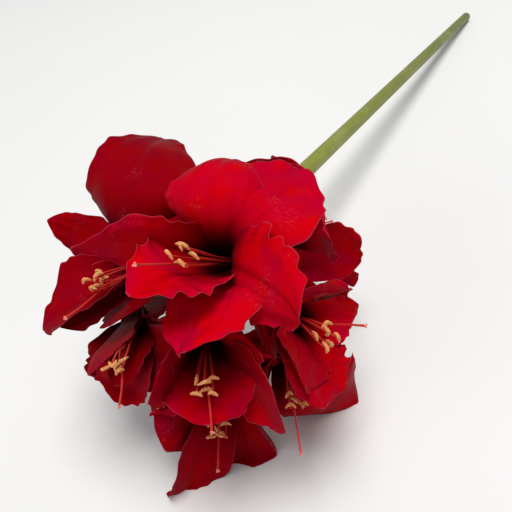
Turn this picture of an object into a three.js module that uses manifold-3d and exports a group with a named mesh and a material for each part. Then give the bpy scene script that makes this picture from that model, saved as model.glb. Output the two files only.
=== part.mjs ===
// Cut amaryllis: one leafless stem lying on a table, with a dense head of
// eight dark red blooms at its upper end.
//
// Units are millimetres. The flower is laid out with its stem along +Y, from
// the umbel (the point where all flower stalks meet) to the cut end, and +Z as
// its upper side. It has rolled a little about its stem until it came to rest,
// so the table is a tilted plane here. At the end everything is turned until
// the table is level, with the outline centred over the origin and the lowest
// petals on z = 0.

import * as THREE from 'three';
import { mergeVertices } from 'three/addons/utils/BufferGeometryUtils.js';
import Module from 'manifold-3d';

const wasm = await Module();
wasm.setup();

// Driving dimensions

const UMBEL_HEIGHT = 115; // umbel centre above the table
const STEM_REACH = 568; // level distance from the umbel to the cut end
const ROLL = 12; // degrees that the flower has rolled about its stem, to rest
const HEAD_LIFT = 0.8; // degrees that its head is lifted by the petals below
const STEM_TOP_RADIUS = 9.2;
const STEM_CUT_RADIUS = 5.4;
const KNOB_RADIUS = 13.5; // swollen stem top that carries the flower stalks
const STALK_RADIUS = 3;
const OVARY_RADIUS = 5.2;
const OVARY_LENGTH = 17;
const TUBE_RADIUS = 7.4; // at the throat, where the six tepals part
const TUBE_LENGTH = 10;
const THROAT_DEPTH = 5; // tube floor below the point where the tepals open
const TEPAL_HALF_THICKNESS = 0.4;
const TEPAL_WIDEST_AT = 0.56; // share of the tepal's length
const TEPAL_RISE = 1.15; // power of the outline's widening, from a narrow root
const TEPAL_FALL = 1.9; // powers of its narrowing, towards a blunt tip
const TIP_BLUNTNESS = 0.72;
const TIP_SHARE = 0.07; // width of the very tip, as a share of the width
const OPENING_LENGTH = 0.7; // share of the length in which a tepal flares
const CURL_START = 0.35; // share of the length where its curl begins
const KEEL_HEIGHT = 1.2; // raised midrib on the outer face
const KEEL_WIDTH = 4;
const RUFFLE_HEIGHT = 3; // slow waves of the margin
const RUFFLE_WAVES = 2.2;
const CLAW_DEPTH = 8; // root of the tepal below the throat
const CLAW_ARC = 0.95; // half width of the root, in root distances
const ROOT_TILT = 10; // degrees the tepals lean out where they start
const INNER_ROOT = 4.6; // root distance from the bloom's axis
const OUTER_ROOT = 6.3;
const WALL_GAP = 0.8; // tepal to the wall that parts two neighbouring blooms
const WALL_SLACK = 0.04; // how much nearer than that a tepal may come
const OVERLAP = 0.45; // lean of that wall: the upper bloom lies over the lower
const THROAT_ROOM = 11; // least distance from a throat to such a wall
const LAYER_GAP = 1.1; // further room for each next tepal of the bloom
const WALL_SOFTNESS = 7; // how early a tepal starts to bend away from a wall
const ROOT_SHARE = 0.3; // share of the length in which that bend sets in
const TABLE_REACH = 3; // how early it starts to bend away from the table
const FILAMENT_RADIUS = 0.8;
const THREAD_CLEARANCE = 2; // stamen and style axes to the nearest tepal
const ANTHER_CLEARANCE = 6.5;
const ANTHER_LENGTH = 10;
const ANTHER_RADIUS = 1.5;
const STAMEN_SPREAD = 6; // anthers from the middle of their ring
const SHORT_STAMEN = 0.87; // every second stamen is shorter
const PIECE_GAP = 0.36; // between touching pieces of different colour

const FACET_LENGTH = 17; // aimed size of a tepal's facets, along and across
const FACET_WIDTH = 20;
const SPINE_STEPS = 60;
const MERGE_DISTANCE = 1e-3; // corners closer than this are one corner

const TEPAL_RED = 0xa8001c;
const STAMEN_ORANGE = 0xdf9448;
const STALK_GREEN = 0x7f8c3c;
const STEM_GREEN = 0x8b9348;

// The eight blooms, as the photo shows them
//
// throat: where the tepals part, measured from the umbel centre.
// face: which way the bloom looks, as compass angle (0 = away from the stem,
// positive towards +X) and height above level, both in degrees.
// middle: centre of the room that the bloom has among its neighbours.
// stamens, style: compass angle, height and reach from the throat.
// tepals, inner and outer in turn, each as
// [turn, flare, curl, length, width, twist, sway, cup, roll]:
// turn round the bloom's axis from its upper side, clockwise as seen looking
// in; how far it flares from the axis; how much further the outer half curls;
// length and width; twist along its length; sideways sway; how far the blade
// is cupped (+) or arched (-) near the root, and at the tip.

const BLOOMS = [
  {
    name: 'front', throat: [38, -32, 64], face: [-5, 50], middle: [36, -61, 99],
    stamens: [-6, 52, 66], style: [-9, 46, 97],
    tepals: [
      [-175, -15, 57, 99, 58, 9, -7, 73, -4],
      [-100, 34, -25, 111, 51, -55, 19, 8, -35],
      [-30, 79, 107, 113, 70, 9, -6, -52, -25],
      [16, 124, 30, 122, 72, -16, 4, 20, 2],
      [69, 64, -31, 116, 64, 18, -20, -25, -36],
      [146, 38, -15, 93, 84, 29, 5, 16, -61],
    ],
  },
  {
    name: 'left', throat: [-25, -46, 20], face: [-18, 51], middle: [-34, -73, 55],
    stamens: [0, 41, 65], style: [1, 28, 88],
    tepals: [
      [166, 31, 54, 97, 66, 23, -30, 103, -1],
      [174, 45, 4, 83, 44, 3, -1, 62, -12],
      [-97, 62, -19, 89, 36, 0, 13, 29, -30],
      [-31, 107, 51, 154, 88, 12, 26, -73, 16],
      [4, 76, 90, 90, 96, 0, 0, 20, -15],
      [90, 79, 45, 93, 85, 0, 0, 25, -15],
    ],
  },
  {
    name: 'lower_left', throat: [-14, -76, -1], face: [13, 17], middle: [22, -100, 19],
    stamens: [27, 32, 66], style: [35, 25, 93],
    tepals: [
      [156, 7, 4, 60, 41, 7, -2, 45, -23],
      [-179, 61, 50, 86, 63, 20, 0, 51, -8],
      [-71, 9, -59, 76, 54, 16, -7, 40, 17],
      [-4, 105, 86, 57, 49, 0, 0, 25, -15],
      [83, 75, 17, 55, 93, 0, 0, 25, -15],
      [89, 100, 42, 78, 96, 0, 0, 35, -15],
    ],
  },
  {
    name: 'lower', throat: [44, -68, 17], face: [34, 26], middle: [66, -102, 36],
    stamens: [37, 33, 65], style: [40, 24, 88],
    tepals: [
      [167, -6, -4, 82, 65, -16, 5, 41, -21],
      [-80, 47, 4, 94, 48, -6, 1, 40, -9],
      [-24, 72, 20, 96, 80, 0, 0, 25, -15],
      [32, 66, 33, 100, 84, 0, 0, 25, -15],
      [102, 82, -23, 110, 63, 0, -1, 38, -20],
      [107, 52, 76, 65, 44, 18, -1, 52, 5],
    ],
  },
  {
    name: 'right', throat: [87, -25, 25], face: [74, 45], middle: [118, -34, 57],
    stamens: [60, 46, 62], style: [87, 42, 70],
    tepals: [
      [113, 41, 60, 54, 38, 15, -5, 89, 8],
      [-147, 45, 13, 74, 60, -11, 1, 48, -25],
      [-112, 32, 7, 76, 48, -10, 6, 42, -15],
      [-42, 105, 34, 72, 76, 0, 0, 25, -15],
      [-23, 37, 24, 59, 47, -7, -3, 40, -10],
      [23, 14, 15, 59, 69, 0, 0, 30, -15],
    ],
  },
  {
    name: 'bottom', throat: [46, -58, -51], face: [31, -1], middle: [69, -97, -52],
    stamens: [34, 17, 63], style: [34, 9, 84],
    tepals: [
      [-106, 27, -10, 81, 66, 22, -4, 30, -41],
      [-40, 48, 20, 94, 62, 0, 0, 25, -15],
      [25, 48, 20, 94, 80, 0, 0, 25, -15],
      [109, 60, 14, 90, 80, 0, 0, 25, -15],
      [153, 53, -4, 104, 70, -6, -3, 20, -19],
      [-161, 32, 52, 141, 48, -20, -3, 94, -17],
    ],
  },
  {
    name: 'lower_right', throat: [83, -25, -22], face: [39, 0], middle: [111, -59, -22],
    stamens: [42, 14, 56], style: [40, 2, 84],
    tepals: [
      [-60, 64, 82, 70, 70, 6, -3, 40, -8],
      [-4, 72, 81, 55, 96, 0, 0, 25, -15],
      [52, 33, 33, 55, 44, 0, 0, 35, -15],
      [144, 97, -15, 118, 85, -32, 6, -19, -71],
      [-150, 105, 14, 55, 57, -1, 0, 45, -15],
      [-77, 57, 14, 90, 69, 0, 0, 25, -15],
    ],
  },
  {
    name: 'back', throat: [35, 48, 2], face: [165, -8], middle: [47, 91, -4],
    stamens: [165, -28, 50], style: [163, -26, 62],
    tepals: [
      [-125, 58, 24, 74, 83, -30, 5, 8, -23],
      [-57, 98, 11, 63, 52, 0, 0, 45, -15],
      [52, 69, 21, 76, 59, -3, 0, 42, -18],
      [76, 80, 71, 95, 70, -2, 7, 24, -20],
      [138, 56, 25, 88, 56, 0, 0, 25, -15],
      [-139, 54, 20, 98, 44, 0, 0, 25, -15],
    ],
  },
];

// Small helpers

const UP = new THREE.Vector3(0, 0, 1);
const UMBEL = new THREE.Vector3(0, 0, UMBEL_HEIGHT);
const CUT_END = new THREE.Vector3(0, STEM_REACH, STEM_CUT_RADIUS);

function along(point, direction, distance) {
  return point.clone().addScaledVector(direction, distance);
}

function clamp01(x) {
  return THREE.MathUtils.clamp(x, 0, 1);
}

function radians(degrees) {
  return THREE.MathUtils.degToRad(degrees);
}

function compass(azimuth, height) {
  const a = radians(azimuth);
  const h = radians(height);
  return new THREE.Vector3(Math.sin(a) * Math.cos(h), -Math.cos(a) * Math.cos(h), Math.sin(h));
}

// Each bloom gets its own axes: d looks out of the bloom, up is its upper side
// and right is the right hand of someone who looks in.
function layOut(row, number) {
  const d = compass(...row.face);
  const up = UP.clone().addScaledVector(d, -UP.dot(d)).normalize();
  return {
    ...row,
    number,
    d,
    up,
    right: up.clone().cross(d),
    throat: UMBEL.clone().add(new THREE.Vector3(...row.throat)),
    middle: UMBEL.clone().add(new THREE.Vector3(...row.middle)),
  };
}

const blooms = BLOOMS.map(layOut);

// The wall between two neighbours lies halfway between their middles, or a
// little nearer to one of them where the other's throat would have no room. It
// leans, so that the bloom listed first lies over the other like a roof tile.
function wallBetween(bloom, other) {
  const normal = bloom.middle.clone().sub(other.middle).normalize();
  const point = bloom.middle.clone().add(other.middle).multiplyScalar(0.5);
  const lift = point.clone().sub(UMBEL).normalize().add(UP);
  lift.addScaledVector(normal, -lift.dot(normal)).normalize();
  const side = bloom.number < other.number ? 1 : -1;
  normal.addScaledVector(lift, side * OVERLAP).normalize();
  const room = bloom.throat.clone().sub(point).dot(normal);
  const otherRoom = -other.throat.clone().sub(point).dot(normal);
  if (room < THROAT_ROOM) point.addScaledVector(normal, room - THROAT_ROOM);
  if (otherRoom < THROAT_ROOM) point.addScaledVector(normal, THROAT_ROOM - otherRoom);
  return { point, normal };
}

for (const bloom of blooms) {
  const others = blooms.filter((other) => other !== bloom);
  bloom.walls = others.map((other) => wallBetween(bloom, other));
}

// Keeping tepals clear of their neighbours, of the stem and of the table

function soften(distance, gap, reach) {
  if (distance > reach) return distance;
  return gap + (reach - gap) * Math.exp((distance - reach) / (reach - gap));
}

function bendFromWall(p, wall, gap, reach) {
  const distance = p.clone().sub(wall.point).dot(wall.normal);
  p.addScaledVector(wall.normal, soften(distance, gap, reach) - distance);
}

function pushInside(p, wall, gap) {
  const distance = p.clone().sub(wall.point).dot(wall.normal);
  if (distance < gap) p.addScaledVector(wall.normal, gap - distance);
}

// The table, seen from the flower: it touches the cut end of the stem, and the
// flower has rolled on it until the weight lies between the lowest petals.
const STEM_LINE = CUT_END.clone().sub(UMBEL).normalize();
const tableNormal = compass(-90, 90 - ROLL).addScaledVector(STEM_LINE, -Math.sin(radians(HEAD_LIFT)));
tableNormal.normalize();
const cutEndDrop = STEM_CUT_RADIUS * Math.sqrt(1 - tableNormal.dot(STEM_LINE) ** 2);
const TABLE = { point: along(CUT_END, tableNormal, -cutEndDrop), normal: tableNormal };

// The bend starts gently beyond the root, which stays round the throat.
function keepClear(p, bloom, t, u) {
  const grow = clamp01(u / ROOT_SHARE);
  const gap = WALL_GAP + (t.wallGap - WALL_GAP) * grow;
  const reach = gap + 1 + (WALL_SOFTNESS - 1) * grow;
  for (let round = 0; round < 3; round += 1) {
    if (t.stemWall) bendFromWall(p, t.stemWall, 0, WALL_SOFTNESS);
    for (const wall of bloom.walls) bendFromWall(p, wall, gap, reach);
  }
  bendFromWall(p, TABLE, TEPAL_HALF_THICKNESS, TABLE_REACH);
  for (const wall of bloom.walls) pushInside(p, wall, WALL_GAP - WALL_SLACK);
  return p;
}

// A bloom beside the stem has each tepal pass the stem on the tepal's own
// side: the wall touches the stem there.
function stemSideWall(bloom, turnDegrees) {
  if (bloom.throat.y < UMBEL.y) return null;
  const offset = bloom.throat.clone().sub(UMBEL);
  offset.addScaledVector(STEM_LINE, -offset.dot(STEM_LINE)).normalize();
  const out = bloom.up.clone().multiplyScalar(Math.cos(radians(turnDegrees)));
  out.addScaledVector(bloom.right, Math.sin(radians(turnDegrees)));
  const normal = offset.addScaledVector(out, 0.9);
  normal.addScaledVector(STEM_LINE, -normal.dot(STEM_LINE)).normalize();
  return { point: along(UMBEL, normal, STEM_TOP_RADIUS + 2), normal };
}

// One tepal

function halfWidth(t, u) {
  const claw = CLAW_ARC * t.root;
  if (u < TEPAL_WIDEST_AT) {
    const rise = Math.sin((u / TEPAL_WIDEST_AT) * (Math.PI / 2));
    return claw + (t.width / 2 - claw) * rise ** TEPAL_RISE;
  }
  const fall = (u - TEPAL_WIDEST_AT) / (1 - TEPAL_WIDEST_AT);
  return (t.width / 2) * Math.max(TIP_SHARE, clamp01(1 - fall ** TEPAL_FALL) ** TIP_BLUNTNESS);
}

function leanAt(t, u) {
  const opening = (1 - Math.cos(Math.PI * clamp01(u / OPENING_LENGTH))) / 2;
  const tip = clamp01((u - CURL_START) / (1 - CURL_START)) ** 1.6;
  return radians(ROOT_TILT + t.flare * opening + t.curl * tip);
}

// The midline of the tepal: distance from the bloom's axis, distance along it
// and sideways drift, summed in small steps.
function midline(t) {
  const points = [{ out: t.root, ahead: -CLAW_DEPTH, side: 0 }];
  const step = t.length / SPINE_STEPS;
  for (let i = 0; i < SPINE_STEPS; i += 1) {
    const u0 = i / SPINE_STEPS;
    const u1 = (i + 1) / SPINE_STEPS;
    const lean = (leanAt(t, u0) + leanAt(t, u1)) / 2;
    const sway = (radians(t.sway) * (u0 ** 1.5 + u1 ** 1.5)) / 2;
    const last = points[i];
    points.push({
      out: last.out + Math.sin(lean) * step,
      ahead: last.ahead + Math.cos(lean) * step,
      side: last.side + Math.sin(sway) * step,
    });
  }
  return points;
}

function sampleMidline(points, u) {
  const x = u * SPINE_STEPS;
  const i = Math.min(SPINE_STEPS - 1, Math.floor(x));
  const f = x - i;
  const mix = (key) => points[i][key] * (1 - f) + points[i + 1][key] * f;
  return { out: mix('out'), ahead: mix('ahead'), side: mix('side') };
}

// The edges are waved, more towards the margin and the outer half.
function ruffle(t, u, v) {
  const wave = Math.sin(2 * Math.PI * (RUFFLE_WAVES * u + t.phase + 0.27 * Math.sign(v)));
  const fade = clamp01(u / 0.35) ** 1.5 * clamp01((1 - u) / 0.12) ** 0.7;
  return RUFFLE_HEIGHT * Math.abs(v) ** 2.5 * wave * fade;
}

function tepalPoint(bloom, t, points, u, v) {
  const turn = radians(t.turn);
  const out = bloom.up.clone().multiplyScalar(Math.cos(turn));
  out.addScaledVector(bloom.right, Math.sin(turn));
  const side = bloom.d.clone().cross(out);

  const at = sampleMidline(points, u);
  const lean = leanAt(t, u);
  const sway = radians(t.sway) * u ** 1.5;
  const spine = along(along(along(bloom.throat, out, at.out), bloom.d, at.ahead), side, at.side);

  const tangent = out.clone().multiplyScalar(Math.sin(lean));
  tangent.addScaledVector(bloom.d, Math.cos(lean)).addScaledVector(side, Math.sin(sway));
  tangent.normalize();
  const inner = out.clone().multiplyScalar(-Math.cos(lean));
  inner.addScaledVector(bloom.d, Math.sin(lean));
  inner.addScaledVector(tangent, -inner.dot(tangent)).normalize();
  const across = inner.clone().cross(tangent);
  const twist = radians(t.twist) * u;
  const acrossTurned = across.clone().multiplyScalar(Math.cos(twist));
  acrossTurned.addScaledVector(inner, Math.sin(twist));
  inner.multiplyScalar(Math.cos(twist)).addScaledVector(across, -Math.sin(twist));

  const half = halfWidth(t, u);
  const nearRoot = clamp01(1 - u / 0.25);
  const bladeArc = radians(t.cup * (1 - u) ** 0.8 + t.roll * u ** 1.5);
  let arc = bladeArc * (1 - nearRoot) + CLAW_ARC * nearRoot;
  if (Math.abs(arc) < 1e-3) arc = 1e-3;
  const bend = arc / half;
  const s = v * half;
  const ridge = Math.exp(-((s / KEEL_WIDTH) ** 2));
  const keel = KEEL_HEIGHT * ridge * Math.sqrt(Math.sin(Math.PI * clamp01(u)));
  const lift = (1 - Math.cos(bend * s)) / bend + ruffle(t, u, v) - keel;
  const p = along(spine, acrossTurned, Math.sin(bend * s) / bend);
  return keepClear(p.addScaledVector(inner, lift), bloom, t, u);
}

// Rows lie closer together towards the tip.
function tepalGrid(bloom, t) {
  const points = midline(t);
  const grid = [];
  const rows = Math.round(t.length / FACET_LENGTH);
  const columns = Math.round(t.width / FACET_WIDTH);
  for (let i = 0; i <= rows; i += 1) {
    const u = 1 - (1 - i / rows) ** 1.2;
    const row = [];
    for (let j = 0; j <= columns; j += 1) {
      row.push(tepalPoint(bloom, t, points, u, (2 * j) / columns - 1));
    }
    grid.push(row);
  }
  return grid;
}

function gridNormal(grid, i, j) {
  const rows = grid.length - 1;
  const columns = grid[0].length - 1;
  const lengthwise = grid[Math.min(rows, i + 1)][j].clone().sub(grid[Math.max(0, i - 1)][j]);
  const crosswise = grid[i][Math.min(columns, j + 1)].clone().sub(grid[i][Math.max(0, j - 1)]);
  return lengthwise.cross(crosswise).normalize();
}

// A thin blade: the grid moved half the thickness to either side, both faces
// split into the same triangles, closed by a rim.
function blade(grid, halfThickness) {
  const rows = grid.length - 1;
  const columns = grid[0].length - 1;
  const positions = [];
  for (const sideSign of [1, -1]) {
    for (let i = 0; i <= rows; i += 1) {
      for (let j = 0; j <= columns; j += 1) {
        const p = along(grid[i][j], gridNormal(grid, i, j), sideSign * halfThickness);
        positions.push(p.x, p.y, p.z);
      }
    }
  }
  const top = (i, j) => i * (columns + 1) + j;
  const below = (rows + 1) * (columns + 1);
  const index = [];
  const face = (a, b, c) => index.push(a, b, c, below + a, below + c, below + b);
  for (let i = 0; i < rows; i += 1) {
    for (let j = 0; j < columns; j += 1) {
      const [a, b, c, d] = [top(i, j), top(i + 1, j), top(i + 1, j + 1), top(i, j + 1)];
      if (j < columns / 2) {
        face(a, b, d);
        face(b, c, d);
      } else {
        face(a, b, c);
        face(a, c, d);
      }
    }
  }
  const rim = [];
  for (let i = 0; i < rows; i += 1) rim.push([top(i + 1, 0), top(i, 0)]);
  for (let j = 0; j < columns; j += 1) rim.push([top(0, j), top(0, j + 1)]);
  for (let i = 0; i < rows; i += 1) rim.push([top(i, columns), top(i + 1, columns)]);
  for (let j = columns; j > 0; j -= 1) rim.push([top(rows, j), top(rows, j - 1)]);
  for (const [a, b] of rim) index.push(a, b, below + a, b, below + b, below + a);
  return closedGeometry(positions, index);
}

function closedGeometry(positions, index) {
  const geometry = new THREE.BufferGeometry();
  geometry.setAttribute('position', new THREE.Float32BufferAttribute(positions, 3));
  geometry.setIndex(index);
  return facesOut(geometry);
}

// Signed volume tells whether the faces point out; if not, they are turned.
function signedVolume(geometry) {
  const p = geometry.attributes.position;
  const index = geometry.index.array;
  const [a, b, c] = [new THREE.Vector3(), new THREE.Vector3(), new THREE.Vector3()];
  let volume = 0;
  for (let k = 0; k < index.length; k += 3) {
    a.fromBufferAttribute(p, index[k]);
    b.fromBufferAttribute(p, index[k + 1]);
    c.fromBufferAttribute(p, index[k + 2]);
    volume += a.dot(b.cross(c)) / 6;
  }
  return volume;
}

function facesOut(geometry) {
  if (signedVolume(geometry) < 0) {
    const index = geometry.index.array;
    for (let k = 0; k < index.length; k += 3) {
      [index[k + 1], index[k + 2]] = [index[k + 2], index[k + 1]];
    }
  }
  return geometry;
}

// Round pieces

// A turned profile of [radius, height] pairs, set along a direction.
function turned(profile, base, direction, sides) {
  const outline = profile.map(([r, h]) => new THREE.Vector2(r, h));
  const geometry = new THREE.LatheGeometry(outline, sides);
  geometry.applyQuaternion(
    new THREE.Quaternion().setFromUnitVectors(new THREE.Vector3(0, 1, 0), direction),
  );
  geometry.translate(base.x, base.y, base.z);
  return tidy(geometry);
}

function polygon(radius, sides) {
  const shape = new THREE.Shape();
  for (let k = 0; k < sides; k += 1) {
    const angle = (2 * Math.PI * k) / sides;
    const [x, y] = [radius * Math.cos(angle), radius * Math.sin(angle)];
    if (k === 0) shape.moveTo(x, y);
    else shape.lineTo(x, y);
  }
  shape.closePath();
  return shape;
}

function tubeAlong(curve, radius, sides, steps) {
  return tidy(new THREE.ExtrudeGeometry(polygon(radius, sides), { steps, extrudePath: curve }));
}

// Shared corners merged, triangles without area left out.
function tidy(geometry) {
  geometry.deleteAttribute('normal');
  geometry.deleteAttribute('uv');
  const merged = mergeVertices(geometry, MERGE_DISTANCE);
  const index = merged.index.array;
  const kept = [];
  for (let k = 0; k < index.length; k += 3) {
    const [a, b, c] = [index[k], index[k + 1], index[k + 2]];
    if (a !== b && b !== c && c !== a) kept.push(a, b, c);
  }
  merged.setIndex(kept);
  return facesOut(merged);
}

// Joining closed pieces into one body

function toSolid(geometry) {
  return new wasm.Manifold(new wasm.Mesh({
    numProp: 3,
    vertProperties: new Float32Array(geometry.attributes.position.array),
    triVerts: new Uint32Array(geometry.index.array),
  }));
}

function toGeometry(solid) {
  const mesh = solid.getMesh();
  const geometry = new THREE.BufferGeometry();
  geometry.setAttribute('position', new THREE.BufferAttribute(mesh.vertProperties, 3));
  geometry.setIndex(new THREE.BufferAttribute(mesh.triVerts, 1));
  return geometry;
}

function join(pieces) {
  let whole = toSolid(pieces[0]);
  for (const piece of pieces.slice(1)) whole = whole.add(toSolid(piece));
  const rounded = toSolid(tidy(toGeometry(whole)));
  return outerSkin(toGeometry(rounded));
}

// Overlapping blades can shut in a small pocket or cut off a sliver; only the
// largest skin is kept. Triangles belong together when they share an edge.
function outerSkin(geometry) {
  const index = geometry.index.array;
  const count = index.length / 3;
  const facing = new Map();
  for (let k = 0; k < index.length; k += 1) {
    const next = k % 3 === 2 ? k - 2 : k + 1;
    facing.set(`${index[k]}_${index[next]}`, Math.floor(k / 3));
  }
  const parent = Array.from({ length: count }, (_, i) => i);
  const find = (i) => {
    while (parent[i] !== i) {
      parent[i] = parent[parent[i]];
      i = parent[i];
    }
    return i;
  };
  for (let k = 0; k < index.length; k += 1) {
    const next = k % 3 === 2 ? k - 2 : k + 1;
    const across = facing.get(`${index[next]}_${index[k]}`);
    parent[find(Math.floor(k / 3))] = find(across);
  }
  const skins = new Map();
  for (let i = 0; i < count; i += 1) {
    const root = find(i);
    if (!skins.has(root)) skins.set(root, []);
    skins.get(root).push(index[3 * i], index[3 * i + 1], index[3 * i + 2]);
  }
  const largest = [...skins.values()].sort((a, b) => b.length - a.length)[0];
  const skin = geometry.clone();
  skin.setIndex(largest);
  return skin;
}

// Sub-parts

function stemSolid() {
  const run = CUT_END.clone().sub(UMBEL);
  const length = run.length();
  const profile = [
    [0, -KNOB_RADIUS],
    [KNOB_RADIUS * 0.55, -KNOB_RADIUS * 0.84],
    [KNOB_RADIUS * 0.93, -KNOB_RADIUS * 0.37],
    [KNOB_RADIUS * 0.97, KNOB_RADIUS * 0.25],
    [KNOB_RADIUS * 0.75, KNOB_RADIUS * 0.8],
    [STEM_TOP_RADIUS, KNOB_RADIUS * 1.5],
    [STEM_CUT_RADIUS, length],
    [0, length],
  ];
  return turned(profile, UMBEL, run.normalize(), 16);
}

function stalkSolid(bloom) {
  const start = bloom.throat.clone().sub(UMBEL).normalize();
  const stemward = CUT_END.clone().sub(UMBEL).normalize();
  start.addScaledVector(stemward, -0.9 * Math.max(0, start.dot(stemward))).normalize();
  const ovaryEnd = along(bloom.throat, bloom.d, -(THROAT_DEPTH + TUBE_LENGTH + PIECE_GAP));
  const ovaryStart = along(ovaryEnd, bloom.d, -OVARY_LENGTH);
  const root = along(UMBEL, start, KNOB_RADIUS + PIECE_GAP);
  const bow = root.distanceTo(ovaryStart) / 3;
  const path = new THREE.CubicBezierCurve3(
    root,
    along(root, start, bow),
    along(ovaryStart, bloom.d, -bow),
    along(ovaryStart, bloom.d, 2),
  );
  const ovary = turned([
    [0, 0],
    [STALK_RADIUS + 0.6, 0.3],
    [OVARY_RADIUS, OVARY_LENGTH * 0.35],
    [OVARY_RADIUS, OVARY_LENGTH * 0.75],
    [OVARY_RADIUS * 0.75, OVARY_LENGTH],
    [0, OVARY_LENGTH],
  ], ovaryStart, bloom.d, 6);
  return join([tubeAlong(path, STALK_RADIUS, 6, 4), ovary]);
}

function namedTepal(bloom, row, k) {
  const [turn, flare, curl, length, width, twist, sway, cup, roll] = row;
  const t = { turn, flare, curl, length, width, twist, sway, cup, roll };
  const root = k % 2 === 0 ? INNER_ROOT : OUTER_ROOT;
  const wallGap = WALL_GAP + LAYER_GAP * k;
  const stemWall = stemSideWall(bloom, turn);
  const phase = 0.37 * k + 0.23 * bloom.number;
  return { ...t, root, wallGap, stemWall, phase };
}

function bloomSolid(bloom) {
  const tube = turned([
    [0, 0],
    [OVARY_RADIUS * 0.8, 0],
    [TUBE_RADIUS, TUBE_LENGTH],
    [0, TUBE_LENGTH],
  ], along(bloom.throat, bloom.d, -(THROAT_DEPTH + TUBE_LENGTH)), bloom.d, 10);
  return join([tube, ...bloom.grids.map((grid) => blade(grid, TEPAL_HALF_THICKNESS))]);
}

// The inner faces of a bloom's tepals, as triangles.
function innerFaces(bloom) {
  const faces = [];
  for (const grid of bloom.grids) {
    for (let i = 0; i < grid.length - 1; i += 1) {
      for (let j = 0; j < grid[0].length - 1; j += 1) {
        const [a, b, c, d] = [grid[i][j], grid[i + 1][j], grid[i + 1][j + 1], grid[i][j + 1]];
        faces.push(new THREE.Triangle(a, b, d), new THREE.Triangle(b, c, d));
      }
    }
  }
  return faces;
}

// Threads lie on the inner side of the tepals, so a thread point that comes
// too close to a tepal is moved off along that tepal's inner face.
function bendFromTepals(p, faces, clearance) {
  const foot = new THREE.Vector3();
  const normal = new THREE.Vector3();
  for (let round = 0; round < 6; round += 1) {
    let nearest = { distance: clearance + 3 };
    for (const face of faces) {
      const distance = face.closestPointToPoint(p, foot).distanceTo(p);
      if (distance < nearest.distance) nearest = { distance, face, foot: foot.clone() };
    }
    if (!nearest.face) return p;
    const height = p.clone().sub(nearest.foot).dot(nearest.face.getNormal(normal));
    if (height >= clearance * 0.98) return p;
    p.addScaledVector(normal, clearance - height);
  }
  return p;
}

// Six stamens and the longer style rise from a small disc in the throat. They
// follow the tube first and then lean the way the photo shows.
function threadPath(bloom, angle, spread, aim, reach, tipClearance) {
  const ring = bloom.up.clone().multiplyScalar(Math.cos(angle));
  ring.addScaledVector(bloom.right, Math.sin(angle));
  const foot = along(along(bloom.throat, bloom.d, -4), ring, 2);
  const tip = along(along(bloom.throat, aim, reach), ring, spread);
  const wish = new THREE.CubicBezierCurve3(
    foot,
    along(foot, bloom.d, reach * 0.45),
    along(tip, aim, -reach * 0.3),
    tip,
  );
  const points = [0, 0.2, 0.4, 0.6, 0.8, 1].map((share) => {
    const p = wish.getPoint(share);
    if (share === 0) return p;
    const room = THREAD_CLEARANCE + (tipClearance - THREAD_CLEARANCE) * share ** 4;
    return bendFromTepals(p, bloom.faces, room);
  });
  return new THREE.CatmullRomCurve3(points);
}

// An anther swings on the filament's tip, along the face of the nearest tepal.
function anther(curve, faces) {
  const end = curve.getPoint(1);
  const foot = new THREE.Vector3();
  const distanceTo = (face) => face.closestPointToPoint(end, foot).distanceTo(end);
  const nearest = faces.reduce((a, b) => (distanceTo(b) < distanceTo(a) ? b : a));
  const normal = nearest.getNormal(new THREE.Vector3());
  const across = normal.cross(curve.getTangent(1)).normalize();
  const profile = [
    [0, 0],
    [ANTHER_RADIUS, ANTHER_LENGTH * 0.5],
    [0, ANTHER_LENGTH],
  ];
  return turned(profile, along(end, across, -ANTHER_LENGTH / 2), across, 4);
}

function stamenSolid(bloom) {
  const floor = along(bloom.throat, bloom.d, PIECE_GAP - THROAT_DEPTH);
  const disc = turned([[0, 0], [3.2, 0], [3.2, 1.6], [0, 1.6]], floor, bloom.d, 6);
  const pieces = [disc];
  const aim = compass(bloom.stamens[0], bloom.stamens[1]);
  for (let k = 0; k < 6; k += 1) {
    const reach = bloom.stamens[2] * (k % 2 === 0 ? 1 : SHORT_STAMEN);
    const angle = (Math.PI / 3) * k;
    const path = threadPath(bloom, angle, STAMEN_SPREAD, aim, reach, ANTHER_CLEARANCE);
    pieces.push(tubeAlong(path, FILAMENT_RADIUS, 3, 5), anther(path, bloom.faces));
  }
  const styleAim = compass(bloom.style[0], bloom.style[1]);
  const style = threadPath(bloom, Math.PI, 0, styleAim, bloom.style[2], 3);
  pieces.push(tubeAlong(style, FILAMENT_RADIUS, 3, 5));
  const stigma = [[0, -1], [0.9, -0.6], [1.7, 1.2], [0, 1.8]];
  pieces.push(turned(stigma, style.getPoint(1), style.getTangent(1), 5));
  return join(pieces);
}

// Assembly

function painted(name, geometry, color, roughness) {
  const material = new THREE.MeshStandardMaterial({ color, roughness, metalness: 0 });
  const mesh = new THREE.Mesh(geometry, material);
  mesh.name = name;
  return mesh;
}

const amaryllis = new THREE.Group();
amaryllis.add(painted('stem', stemSolid(), STEM_GREEN, 0.55));
for (const bloom of blooms) {
  bloom.grids = bloom.tepals.map((row, k) => tepalGrid(bloom, namedTepal(bloom, row, k)));
  bloom.faces = innerFaces(bloom);
  amaryllis.add(painted(`tepals_${bloom.name}`, bloomSolid(bloom), TEPAL_RED, 0.6));
  amaryllis.add(painted(`stamens_${bloom.name}`, stamenSolid(bloom), STAMEN_ORANGE, 0.7));
  amaryllis.add(painted(`stalk_${bloom.name}`, stalkSolid(bloom), STALK_GREEN, 0.55));
}

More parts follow.
